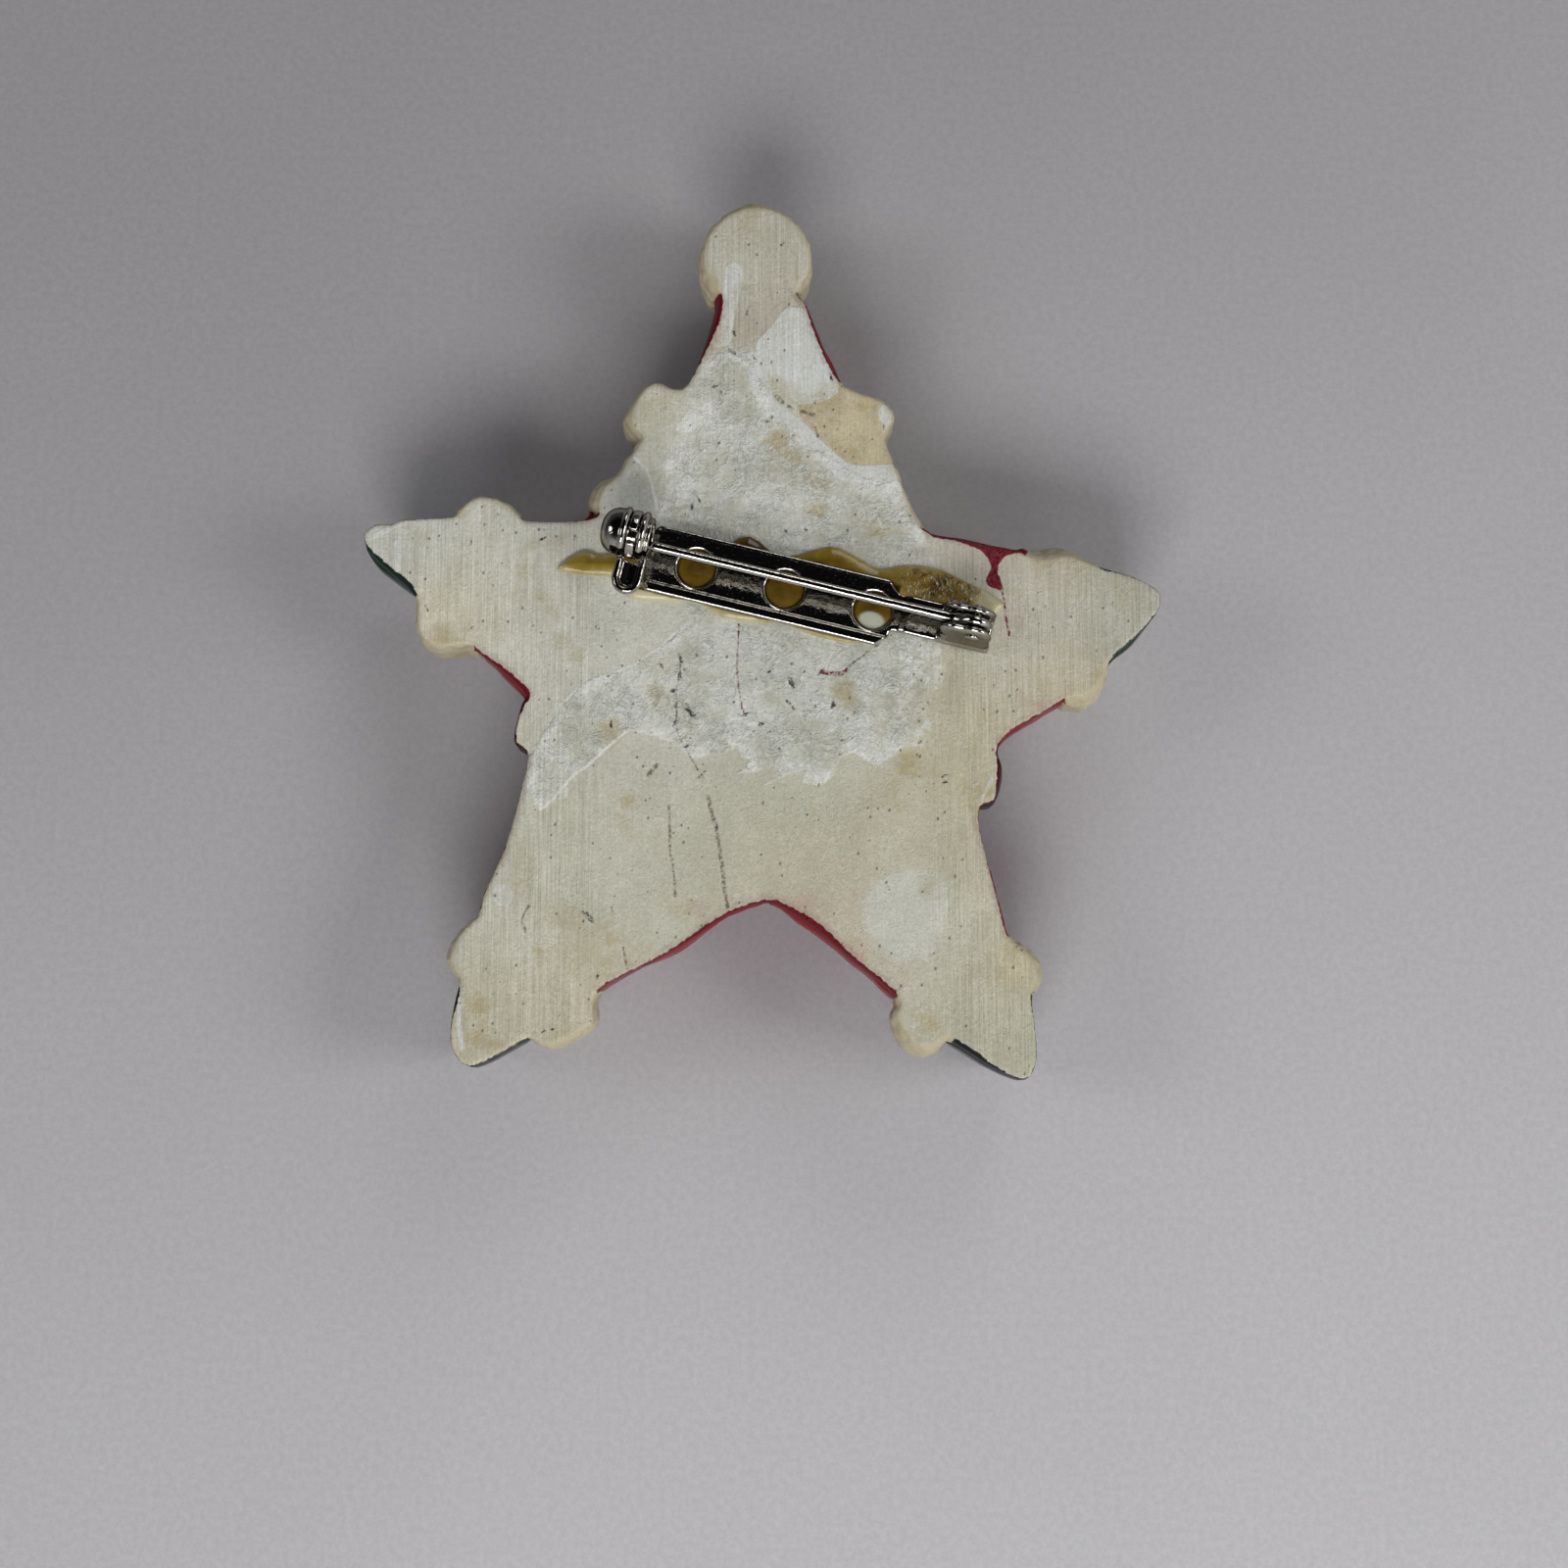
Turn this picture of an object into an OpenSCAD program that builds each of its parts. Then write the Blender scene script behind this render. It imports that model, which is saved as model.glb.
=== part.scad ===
// Star-shaped Santa brooch: a cast resin figure that lies face down, with a bar pin glued to
// its flat back. +Z points out of the back, +Y towards the hat, +X to the figure's left arm
// as seen from behind. Z = 0 is the surface that the front relief rests on.

/* [Casting] */
// Thickness of the casting, from the front relief to the flat back
cast_t = 11; // [9:0.5:14]
// Thickness of the flat slab behind the relief
slab_t = 3; // [2:0.25:4]
// How far the padded edges bulge past the back's outline
edge_bulge = 0.45; // [0:0.05:0.6]
// How far the padded edges round in towards the front
edge_round = 3; // [1:0.25:3.5]
// Height of the bare ground of the coat and hair over the resting surface
ground_z = 3.4; // [2.5:0.1:4]
// Radius of the pompom
pompom_r = 4.35; // [4:0.05:4.6]
// Radius of the nose
nose_r = 1.6; // [1:0.1:2]

/* [Bar pin] */
// Angle of the bar below the X axis, in degrees
bar_angle = 13.7; // [0:0.1:20]
// Width of the bar
bar_w = 5.5; // [4.8:0.1:6]
// Thickness of the bar's sheet
bar_t = 0.5; // [0.4:0.05:0.55]
// Radius of the three holes in the bar
bar_hole_r = 1.55; // [1:0.05:1.7]
// Distance between neighbouring holes
hole_pitch = 7.23; // [6.5:0.01:7.5]
// Thickness of the adhesive under the bar
glue_t = 0.3; // [0.2:0.05:0.35]
// Height of the adhesive squeezed out beside the bar
glue_bead_h = 0.7; // [0.5:0.05:1]

/* [Pin stem and catch] */
// Radius of the pin stem
stem_r = 0.375; // [0.3:0.005:0.4]
// Height of the stem's axis over the back
stem_h = 3.6; // [3.3:0.05:4]
// Radius of the catch barrel's two rims
rim_r = 2.05; // [2:0.05:2.3]
// Length of the thumb tab from the barrel's axis
tab_reach = 4.7; // [4:0.1:5]
// Running clearance between moving metal parts
gap = 0.08; // [0.05:0.01:0.09]

/* [Hidden] */
$fn = 48;

ivory = [0.87, 0.85, 0.77];
fur = [0.93, 0.91, 0.85];
red = [0.62, 0.06, 0.08];
skin = [0.90, 0.68, 0.55];
green = [0.07, 0.20, 0.11];
black = [0.06, 0.06, 0.06];
gold = [0.80, 0.62, 0.25];
amber = [0.72, 0.55, 0.15];
nickel = [0.72, 0.72, 0.70];

// The outline is drawn about the middle hole's row, then moved so that the whole part is
// centred on the origin.
plan_shift = [0.1, -0.94];
slab_z = cast_t - slab_t;
relief_layers = 4;
outline_steps = 2;
mask_reach = 4;
eps = 0.01;

// Outline of the flat back, clockwise from the pompom's neck, seen from behind
pompom_at = [-0.55, 32.2];
pompom_arc = [for (a = [222 : -24 : -42]) pompom_at + pompom_r * [cos(a), sin(a)]];
hat_right = [[3.4, 28.5], [4.2, 26.2], [5.1, 23.9], [6.0, 22.0]];
brim_right = [[6.5, 21.4], [8.0, 20.8], [9.4, 20.3], [10.3, 19.4], [10.4, 18.5], [9.8, 17.5]];
head_right = [[9.8, 16.6], [10.3, 15.4], [11.1, 13.3], [11.9, 11.2], [12.6, 10.0]];
sleeve_right_top = [[13.6, 9.2], [16.0, 8.8], [18.1, 8.3], [20.5, 7.8]];
wrist_right_top = [[21.2, 7.4], [22.5, 7.1], [24.3, 7.4], [26.0, 6.9]];
mitten_right = [
    [27.3, 6.4], [29.7, 5.7], [31.5, 4.7], [31.8, 3.9], [31.5, 2.8], [29.8, 0.9], [28.4, -0.3]
];
wrist_right_low = [[27.4, -1.3], [27.0, -2.7], [25.6, -4.0]];
sleeve_right_low = [[24.2, -4.1], [21.9, -5.5], [19.9, -6.6], [18.9, -7.6]];
belt_right = [[18.6, -8.6], [18.9, -9.6], [18.6, -11.6], [18.2, -12.5]];
leg_right_out = [[17.2, -12.8], [17.1, -14.4], [18.0, -18.3], [18.7, -21.1], [19.2, -23.0]];
ankle_right_out = [[20.3, -23.9], [21.2, -25.0], [21.5, -26.4]];
boot_right = [
    [21.0, -27.5], [21.3, -30.2], [21.4, -32.6], [20.9, -34.0], [19.9, -34.2], [17.5, -33.0],
    [14.6, -31.1]
];
ankle_right_in = [[13.9, -31.4], [12.8, -31.8], [11.6, -31.2], [10.4, -29.4], [10.7, -28.7]];
leg_right_in = [[10.4, -27.6], [7.0, -24.8], [4.4, -22.5], [2.1, -21.0], [0.3, -20.3]];
leg_left_in = [[-2.7, -21.3], [-5.0, -22.9], [-8.3, -24.9], [-12.2, -26.8]];
ankle_left_in = [[-13.3, -28.0], [-13.2, -29.5], [-13.9, -30.3], [-16.5, -31.6], [-17.5, -31.4]];
boot_left = [
    [-18.2, -31.0], [-20.0, -32.0], [-22.7, -33.3], [-24.0, -32.3], [-24.4, -30.6],
    [-24.0, -28.0]
];
ankle_left_out = [[-23.7, -26.4], [-24.5, -24.9], [-23.6, -22.8]];
leg_left_out = [[-22.4, -21.6], [-21.9, -19.7], [-20.4, -16.3], [-19.2, -11.8]];
belt_left = [[-18.6, -8.6], [-19.6, -7.9], [-19.7, -6.8], [-19.1, -4.5]];
sleeve_left_low = [[-18.8, -3.9], [-20.1, -2.4], [-22.5, -0.5]];
wrist_left_low = [[-23.5, 0.2], [-25.6, 0.0], [-27.1, 0.8], [-27.6, 2.2]];
mitten_left = [
    [-27.6, 3.7], [-28.4, 4.9], [-30.1, 6.4], [-31.6, 7.9], [-32.0, 9.2], [-31.0, 10.0],
    [-29.8, 10.0], [-28.8, 10.4], [-25.0, 10.6]
];
wrist_left_top = [[-24.5, 11.1], [-23.3, 12.1], [-21.9, 12.2], [-20.4, 11.5]];
sleeve_left_top = [[-19.4, 10.5], [-18.5, 10.3], [-14.9, 10.3], [-13.2, 10.7]];
head_left = [[-13.2, 11.8], [-12.7, 13.1], [-11.6, 14.0], [-10.9, 15.3], [-9.7, 17.1]];
brim_left = [
    [-10.3, 17.9], [-10.7, 18.9], [-9.9, 20.8], [-8.8, 21.7], [-7.7, 21.3], [-6.5, 21.2]
];
hat_left = [[-5.8, 22.1], [-4.6, 24.8], [-3.8, 27.0], [-3.5, 28.6]];
outline_knots = concat(
    pompom_arc, hat_right, brim_right, head_right, sleeve_right_top, wrist_right_top,
    mitten_right, wrist_right_low, sleeve_right_low, belt_right, leg_right_out,
    ankle_right_out, boot_right, ankle_right_in, leg_right_in, leg_left_in, ankle_left_in,
    boot_left, ankle_left_out, leg_left_out, belt_left, sleeve_left_low, wrist_left_low,
    mitten_left, wrist_left_top, sleeve_left_top, head_left, brim_left, hat_left
);

// Lines that part the painted regions, each across the casting from left to right
neck_line = [[-3.6, 29.3], [3.4, 29.3]];
brim_top = [[-6.7, 21.6], [6.8, 21.8]];
brim_low = [[-9.8, 17.2], [9.8, 17.0]];
chin_line = [[-13.2, 10.8], [13.3, 9.4]];
belt_top = [[-19.0, -4.2], [18.7, -8.0]];
belt_low = [[-18.6, -8.6], [17.4, -12.7]];
crotch_line = [[-0.4, -10.7], [0.3, -20.3]];
left_wrist = [[-19.5, 10.6], [-22.9, -0.2]];
left_hand = [[-24.7, 10.8], [-27.6, 3.5]];
right_wrist = [[20.8, 7.7], [24.1, -4.2]];
right_hand = [[26.8, 6.7], [27.6, -1.1]];
left_ankle = [[-22.4, -21.7], [-12.9, -27.4]];
left_foot = [[-23.8, -26.6], [-18.0, -31.1]];
right_ankle = [[19.3, -23.1], [10.5, -27.9]];
right_foot = [[21.2, -27.3], [14.3, -31.3]];

// Front relief: heights over the resting surface
pompom_low = 1.0;
hat_low = 2.6;
brim_depth_z = 1.2;
sleeve_low = 3.4;
cuff_low = 1.8;
mitten_low = 2.6;
belt_z = 2.2;
leg_low = 2.2;
ankle_low = 0.9;
boot_low = 0;
face_low = nose_r;
beard_low = 1.3;
moustache_low = 0.5;
buckle_low = 1.2;
face_at = [0, 13.3];
face_size = [5.4, 3.6];
buckle_at = [-0.4, -8.4];
buckle_size = [7.4, 5.4];
buckle_band = 1.3;
beard_knots = [
    [-8.6, 13.6], [-9.6, 9.8], [-8.8, 5.4], [-6.4, 1.4], [-3.6, -1.6], [-0.4, -3.6],
    [2.8, -1.9], [6.0, 0.9], [8.6, 4.8], [9.5, 9.2], [8.5, 13.4], [5.8, 14.6], [0, 11.0],
    [-5.8, 14.7]
];

// Bar pin, in its own frame: u runs from the catch to the hinge, v across, w out of the back
pin_at = [1.75, 4.5];
bar_low = glue_t;
bar_top = glue_t + bar_t;
bar_u = [-11.7, 8.9];
bar_chamfer = 0.9;
tongue_w = 3.1;
tongue_end = 16.8;
// The stem and hinge stand off the bar's middle line, and the catch further
stem_v = 0.3;
catch_v = 0.85;
lip_w = 0.75;
lip_h = 0.35;
rivet_u = 15.3;
ear_r = 1.5;
ear_t = 0.6;
ear_base_u = 12.6;
knuckle_t = 0.8;
ear_in = knuckle_t / 2 + gap;
rivet_r = 0.34;
rivet_head_r = 0.65;
rivet_head_t = 0.2;
knuckle_r = 1.35;
stem_thick_r = 0.44;
stem_taper_u = -10.6;
stem_tip_u = -13.6;
stem_tip_r = 0.1;
keeper_u = [-12.75, -12.05];
keeper_t = 0.35;
barrel_r = 1.5;
barrel_bore_r = 1.15;
keeper_in_r = barrel_r + gap;
keeper_out_r = keeper_in_r + keeper_t;
slot_w = 1.1;
keeper_foot_v = 1.3;
rim_t = 0.6;
barrel_end_u = -11.1;
collar_r = 1.65;
dome_r = 1.9;
dome_u = -13.15;
tab_u = [-13.4, -10.95];
tab_t = 0.6;
tab_h = stem_h - 0.7;
tab_r = (tab_u[1] - tab_u[0]) / 2;
tab_root_r = keeper_out_r + gap;
// The barrel is drawn locked: this turn of the thumb tab brings its slot up to the keeper's
unlock_turn = 53;
outer_rim_u = keeper_u[0] - gap - rim_t;
inner_rim_u = keeper_u[1] + gap;
glue_knots = [
    [-18.1, -2.6], [-17.3, -1.3], [-16.2, -0.5], [-14.6, -0.5], [-12.5, 1.5], [-11.0, 2.3],
    [-6.0, 2.4], [-3.8, 3.7], [-0.8, 2.7], [2.7, 4.4], [5.0, 4.0], [7.0, 3.6], [9.0, 4.4],
    [11.3, 4.7], [13.7, 4.2], [15.5, 3.8], [17.2, 3.1], [16.9, 2.2], [16.2, 0.6],
    [14.5, -0.9], [9.4, -1.0], [7.6, -2.4], [5.4, -2.95], [2.3, -2.9], [0.5, -2.5], [-1.0, -2.9],
    [-4.2, -3.3], [-6.5, -2.6], [-9.0, -3.1], [-11.6, -3.5], [-12.6, -2.9], [-13.7, -2.2],
    [-15.8, -2.5]
];

function about(middle, width) = [middle - width / 2, middle + width / 2];
function knot(p, i) = p[(i + len(p)) % len(p)];
function bend(a, b, c, d, t) =
    0.5 * (2 * b + (c - a) * t + (2 * a - 5 * b + 4 * c - d) * t * t
           + (3 * b - a - 3 * c + d) * t * t * t);
// A closed smooth curve through the knots, with n points to each span
function smooth(p, n) = [
    for (i = [0 : len(p) - 1], k = [0 : n - 1])
        bend(knot(p, i - 1), knot(p, i), knot(p, i + 1), knot(p, i + 2), k / n)
];
function reach(l) = (l[1] - l[0]) / norm(l[1] - l[0]) * mask_reach;
// The line's two ends carried past the outline on both sides
function across(l) = [l[0] - reach(l), l[1] + reach(l)];
function band(a, b) = concat(across(a), [across(b)[1], across(b)[0]]);
function ellipse(at, r) = [for (a = [0 : 15 : 345]) at + [r[0] * cos(a), r[1] * sin(a)]];

module outline() polygon(smooth(outline_knots, outline_steps));

module placed() translate([plan_shift[0], plan_shift[1], 0]) children();

// One padded region of the relief: layers that shrink towards the front, cut to a mask
module padded(low, mask) {
    depth = slab_z - low;
    for (i = [0 : relief_layers - 1]) {
        a = 90 * i / relief_layers;
        next = 90 * (i + 1) / relief_layers;
        middle = (a + next) / 2;
        // Every layer but the first reaches a hair into the wider one above it
        lap = i > 0 ? eps : 0;
        translate([0, 0, slab_z - depth * sin(next)])
            linear_extrude(depth * (sin(next) - sin(a)) + lap)
                intersection() {
                    offset(delta = edge_bulge - edge_round * (1 - cos(middle))) outline();
                    polygon(mask);
                }
    }
}

// A block on the relief between two heights
module raised(low, high) translate([0, 0, low]) linear_extrude(high - low) children();

module back_slab() color(ivory) placed() raised(slab_z, cast_t) outline();

module pompom() color(fur) placed() intersection() {
    translate([pompom_at[0], pompom_at[1], pompom_low + pompom_r]) sphere(pompom_r);
    raised(0, slab_z) polygon([[-8, neck_line[0][1]], [8, neck_line[0][1]], [8, 40], [-8, 40]]);
}

module hat() color(red) placed()
    padded(hat_low, concat(across(neck_line), [brim_top[1], brim_top[0]]));
module hat_brim() color(fur) placed()
    padded(brim_depth_z, concat(across(brim_low), [[13, 24], brim_top[1], brim_top[0], [-13, 24]]));
module hair() color(fur) placed()
    padded(ground_z, concat(across(brim_low), [chin_line[1], chin_line[0]]));

module face() color(skin) placed() raised(face_low, ground_z) polygon(ellipse(face_at, face_size));

module nose() color(skin) placed() intersection() {
    translate([face_at[0], face_at[1] - 1, face_low]) sphere(nose_r);
    raised(0, face_low) square(60, center = true);
}

module beard() color(fur) placed() raised(beard_low, ground_z) difference() {
    polygon(smooth(beard_knots, 3));
    polygon(ellipse(face_at, face_size));
}

module moustache() color(fur) placed() raised(moustache_low, beard_low)
    for (side = [-1, 1])
        hull() {
            translate([side * 1.5, 8.0]) circle(1.4, $fn = 32);
            translate([side * 5.4, 7.0]) circle(0.7, $fn = 32);
        }

module coat() color(red) placed()
    padded(ground_z, [chin_line[0], chin_line[1], belt_top[1], belt_top[0]]);
module left_sleeve() color(red) placed()
    padded(sleeve_low, [chin_line[0], belt_top[0], across(left_wrist)[1], across(left_wrist)[0]]);
module right_sleeve() color(red) placed()
    padded(sleeve_low, [chin_line[1], belt_top[1], across(right_wrist)[1], across(right_wrist)[0]]);
module left_wrist_cuff() color(fur) placed() padded(cuff_low, band(left_wrist, left_hand));
module right_wrist_cuff() color(fur) placed() padded(cuff_low, band(right_wrist, right_hand));
module left_mitten() color(green) placed()
    padded(mitten_low, concat(across(left_hand), [[-40, -4], [-40, 18]]));
module right_mitten() color(green) placed()
    padded(mitten_low, concat(across(right_hand), [[40, -8], [40, 14]]));

module belt() color(black) placed() padded(belt_z, band(belt_top, belt_low));

module belt_buckle() color(gold) placed() raised(buckle_low, belt_z)
    translate(buckle_at) rotate(-6) difference() {
        square(buckle_size, center = true);
        square(buckle_size - [2, 2] * buckle_band, center = true);
    }

module left_leg() color(red) placed()
    padded(leg_low, [across(belt_low)[0], crotch_line[0], crotch_line[1], [0.3, -22.5],
                     across(left_ankle)[1], across(left_ankle)[0]]);
module right_leg() color(red) placed()
    padded(leg_low, [across(belt_low)[1], crotch_line[0], crotch_line[1], [0.3, -22.5],
                     across(right_ankle)[1], across(right_ankle)[0]]);
module left_ankle_cuff() color(fur) placed() padded(ankle_low, band(left_ankle, left_foot));
module right_ankle_cuff() color(fur) placed() padded(ankle_low, band(right_ankle, right_foot));
module left_boot() color(black) placed()
    padded(boot_low, concat(across(left_foot), [[-20, -42], [-34, -34]]));
module right_boot() color(black) placed()
    padded(boot_low, concat(across(right_foot), [[14, -42], [32, -36]]));

module at_pin() placed() translate([pin_at[0], pin_at[1], cast_t]) rotate(-bar_angle) children();
// A cylinder along the bar, from u0 to u1, on the catch's axis
module along(u0, u1, r)
    translate([u0, catch_v, stem_h]) rotate([0, 90, 0]) cylinder(h = u1 - u0, r = r);
// A cylinder across the bar on the rivet's axis, from v0 to v1 beside the stem's line
module crosswise(v0, v1, r)
    translate([rivet_u, stem_v + v0, stem_h]) rotate([-90, 0, 0]) cylinder(h = v1 - v0, r = r);
module block(u, v, w)
    translate([u[0], v[0], w[0]]) cube([u[1] - u[0], v[1] - v[0], w[1] - w[0]]);

module bar_plan() {
    v = bar_w / 2;
    c = bar_chamfer;
    polygon([
        [bar_u[0], -v + c], [bar_u[0] + c, -v], [bar_u[1] - c, -v], [bar_u[1], -v + c],
        [bar_u[1], v - c], [bar_u[1] - c, v], [bar_u[0] + c, v], [bar_u[0], v - c]
    ]);
    translate([keeper_u[0], catch_v - keeper_foot_v]) square([3, 2 * keeper_foot_v]);
    translate([0, stem_v - tongue_w / 2]) square([tongue_end, tongue_w]);
}

module adhesive() color(amber) at_pin() difference() {
    linear_extrude(glue_bead_h) polygon(smooth(glue_knots, 3));
    translate([0, 0, bar_low]) linear_extrude(2) bar_plan();
}

module ear_plan() {
    translate([rivet_u, stem_h]) circle(ear_r);
    polygon([
        [ear_base_u, bar_low], [rivet_u + ear_r, bar_low], [rivet_u + ear_r, stem_h],
        [rivet_u - ear_r, stem_h]
    ]);
}

module pin_bar() color(nickel) at_pin() difference() {
    union() {
        translate([0, 0, bar_low]) linear_extrude(bar_t) bar_plan();
        for (side = [-1, 1]) {
            v = side * (bar_w - lip_w) / 2;
            block([bar_u[0] + bar_chamfer, bar_u[1] - bar_chamfer],
                  [v - lip_w / 2, v + lip_w / 2], [bar_top - eps, bar_top + lip_h]);
            translate([0, stem_v + side * (ear_in + ear_t / 2) + ear_t / 2, 0]) rotate([90, 0, 0])
                linear_extrude(ear_t) ear_plan();
        }
        along(keeper_u[0], keeper_u[1], keeper_out_r);
        block(keeper_u, [catch_v - keeper_foot_v, catch_v + keeper_foot_v],
              [bar_low, stem_h - keeper_in_r]);
    }
    for (i = [-1 : 1])
        translate([i * hole_pitch, 0, 0]) cylinder(h = 2, r = bar_hole_r);
    along(keeper_u[0] - 1, keeper_u[1] + 1, keeper_in_r);
    block([keeper_u[0] - 1, keeper_u[1] + 1], about(stem_v, slot_w),
          [stem_h, stem_h + 3]);
    crosswise(-3, 3, rivet_r);
}

module hinge_rivet() color(nickel) at_pin() {
    side = ear_in + ear_t;
    crosswise(-side - rivet_head_t, side + rivet_head_t, rivet_r);
    crosswise(-side - rivet_head_t, -side, rivet_head_r);
    crosswise(side, side + rivet_head_t, rivet_head_r);
}

module pin_stem() color(nickel) at_pin() difference() {
    union() {
        crosswise(-knuckle_t / 2, knuckle_t / 2, knuckle_r);
        translate([rivet_u - knuckle_r / 2, stem_v, stem_h]) rotate([0, -90, 0]) {
            cylinder(h = rivet_u - knuckle_r / 2 - stem_taper_u, r = stem_r);
            cylinder(h = 6, r1 = stem_thick_r, r2 = stem_r);
        }
        translate([stem_taper_u, stem_v, stem_h]) rotate([0, -90, 0])
            cylinder(h = stem_taper_u - stem_tip_u, r1 = stem_r, r2 = stem_tip_r);
    }
    crosswise(-3, 3, rivet_r + gap);
}

module catch_barrel() color(nickel) at_pin() difference() {
    union() {
        along(outer_rim_u, barrel_end_u, barrel_r);
        along(outer_rim_u, outer_rim_u + rim_t, rim_r);
        along(inner_rim_u, inner_rim_u + rim_t, rim_r);
        along(inner_rim_u, barrel_end_u, collar_r);
        intersection() {
            translate([dome_u, catch_v, stem_h]) sphere(dome_r);
            block([outer_rim_u - 3, outer_rim_u + eps], [-3, 4], [0, 7]);
        }
        // Thumb tab, joined to both rims clear of the keeper
        difference() {
            union() {
                block(tab_u, [catch_v + tab_r - tab_reach, catch_v - barrel_r],
                      about(tab_h, tab_t));
                translate([(tab_u[0] + tab_u[1]) / 2, catch_v + tab_r - tab_reach,
                           tab_h - tab_t / 2])
                    cylinder(h = tab_t, r = tab_r);
            }
            along(keeper_u[0] - gap, keeper_u[1] + gap, tab_root_r);
        }
    }
    along(stem_tip_u - 0.3, 0, barrel_bore_r);
    translate([0, catch_v, stem_h]) rotate([unlock_turn, 0, 0])
        block([stem_tip_u - 0.3, 0], about(stem_v - catch_v, slot_w), [0, 4]);
}

back_slab();
pompom();
hat();
hat_brim();
hair();
face();
nose();
moustache();
beard();
coat();
left_sleeve();
right_sleeve();
left_wrist_cuff();
right_wrist_cuff();
left_mitten();
right_mitten();
belt();
belt_buckle();
left_leg();
right_leg();
left_ankle_cuff();
right_ankle_cuff();
left_boot();
right_boot();
adhesive();
pin_bar();
hinge_rivet();
pin_stem();
catch_barrel();
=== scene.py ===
"""A cast resin star brooch, lying face down: the looks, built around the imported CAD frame.

Lengths in the modelling code are millimetres in the CAD frame; MM turns them into metres.
"""
import math

import bpy
import numpy as np
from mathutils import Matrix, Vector


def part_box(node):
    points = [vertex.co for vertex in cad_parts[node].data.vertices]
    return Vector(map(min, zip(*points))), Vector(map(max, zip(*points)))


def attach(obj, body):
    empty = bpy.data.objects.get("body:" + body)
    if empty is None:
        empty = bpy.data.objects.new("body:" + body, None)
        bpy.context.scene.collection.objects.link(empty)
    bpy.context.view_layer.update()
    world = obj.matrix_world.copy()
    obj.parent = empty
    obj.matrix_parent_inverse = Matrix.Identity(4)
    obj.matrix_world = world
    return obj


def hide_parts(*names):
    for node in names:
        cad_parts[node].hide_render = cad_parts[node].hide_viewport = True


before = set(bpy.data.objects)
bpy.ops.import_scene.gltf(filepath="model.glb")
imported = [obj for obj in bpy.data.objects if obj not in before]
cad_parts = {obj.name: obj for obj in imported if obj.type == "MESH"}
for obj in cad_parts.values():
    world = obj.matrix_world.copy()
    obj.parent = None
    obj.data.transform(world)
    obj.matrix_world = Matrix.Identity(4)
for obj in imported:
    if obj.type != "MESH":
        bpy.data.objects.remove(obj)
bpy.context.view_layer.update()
MM = 0.001


def node_box(name):
    """A CAD node's lowest and highest corner, in millimetres."""
    low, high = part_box(name)
    return np.array(low) / MM, np.array(high) / MM


BACK_Z = node_box("back_slab")[1][2]
SLAB_LOW = node_box("back_slab")[0][2]

# ------------ camera and studio

AIM = Vector((1.8, -12.0, BACK_Z)) * MM  # the point on the back that the lens looks at
CAMERA_FAR = 200 * MM
CAMERA_LEAN = math.radians(8)  # how far the view leans in from the feet's side
FIELD = 124 * MM  # what the frame takes in at the aim point
SENSOR = 36.0
WHITE_CARD = 0.74  # how bright a white card lies in this light


def seen(red, green, blue):
    """The surface colour that shows as this 0-255 sRGB colour in the studio's light."""
    return tuple(min((c / 255) ** 2.2 / WHITE_CARD, 0.9) for c in (red, green, blue))


def make_camera():
    data = bpy.data.cameras.new("camera")
    data.sensor_width = SENSOR
    data.lens = SENSOR * CAMERA_FAR / FIELD
    data.clip_start = 0.01
    data.clip_end = 10
    camera = bpy.data.objects.new("camera", data)
    bpy.context.scene.collection.objects.link(camera)
    away = Vector((0, -math.sin(CAMERA_LEAN), math.cos(CAMERA_LEAN)))
    camera.location = AIM + away * CAMERA_FAR
    camera.rotation_euler = (CAMERA_LEAN, 0, 0)
    bpy.context.scene.camera = camera


def area_light(name, place, size, power, colour):
    data = bpy.data.lights.new(name, "AREA")
    data.shape = "RECTANGLE"
    data.size, data.size_y = size
    data.energy = power
    data.color = colour
    light = bpy.data.objects.new(name, data)
    bpy.context.scene.collection.objects.link(light)
    light.location = place
    light.rotation_mode = "QUATERNION"
    light.rotation_quaternion = (AIM - Vector(place)).to_track_quat("-Z", "Y")


def make_world():
    """A room lit from low all round, most from the feet's right, and dark overhead."""
    world = bpy.data.worlds.new("room")
    bpy.context.scene.world = world
    world.use_nodes = True
    kit = Kit(world.node_tree, "Background")
    way = kit.coordinates("Generated")
    across, along, height = (kit.split(way, axis) for axis in range(3))
    lit = kit.ramp(height, [(0.0, (0.72, 0.72, 0.75)), (0.36, (0.62, 0.62, 0.65)), (0.56, (0.10, 0.10, 0.11)),
                            (0.75, (0.02, 0.02, 0.023)), (1.0, (0.012, 0.012, 0.014))])
    kit.put("Color", lit)
    toward = kit.minus(kit.times(across, 0.45), kit.times(along, 0.55))
    kit.put("Strength", kit.most(kit.plus(toward, 0.55), 0.08))


def make_studio():
    make_world()
    area_light("near_window", (-0.04, -0.50, 0.46), (0.38, 0.26), 2.55, (1.0, 0.99, 0.97))
    area_light("right_window", (0.50, -0.10, 0.37), (0.24, 0.22), 1.25, (1.0, 0.99, 0.97))
    area_light("left_window", (-0.47, 0.0, 0.38), (0.22, 0.18), 0.5, (0.97, 0.98, 1.0))
    area_light("far_window", (0.16, 0.46, 0.34), (0.22, 0.16), 0.40, (1.0, 0.99, 0.98))
    half = 3.0
    corners = [(-half, -half, 0), (half, -half, 0), (half, half, 0), (-half, half, 0)]
    mesh = bpy.data.meshes.new("floor")
    mesh.from_pydata(corners, [], [(0, 1, 2, 3)])
    floor = bpy.data.objects.new("floor", mesh)
    bpy.context.scene.collection.objects.link(floor)
    floor.data.materials.append(paper())
    bpy.context.scene.view_settings.view_transform = "Standard"


# ------------ material nodes


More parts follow.
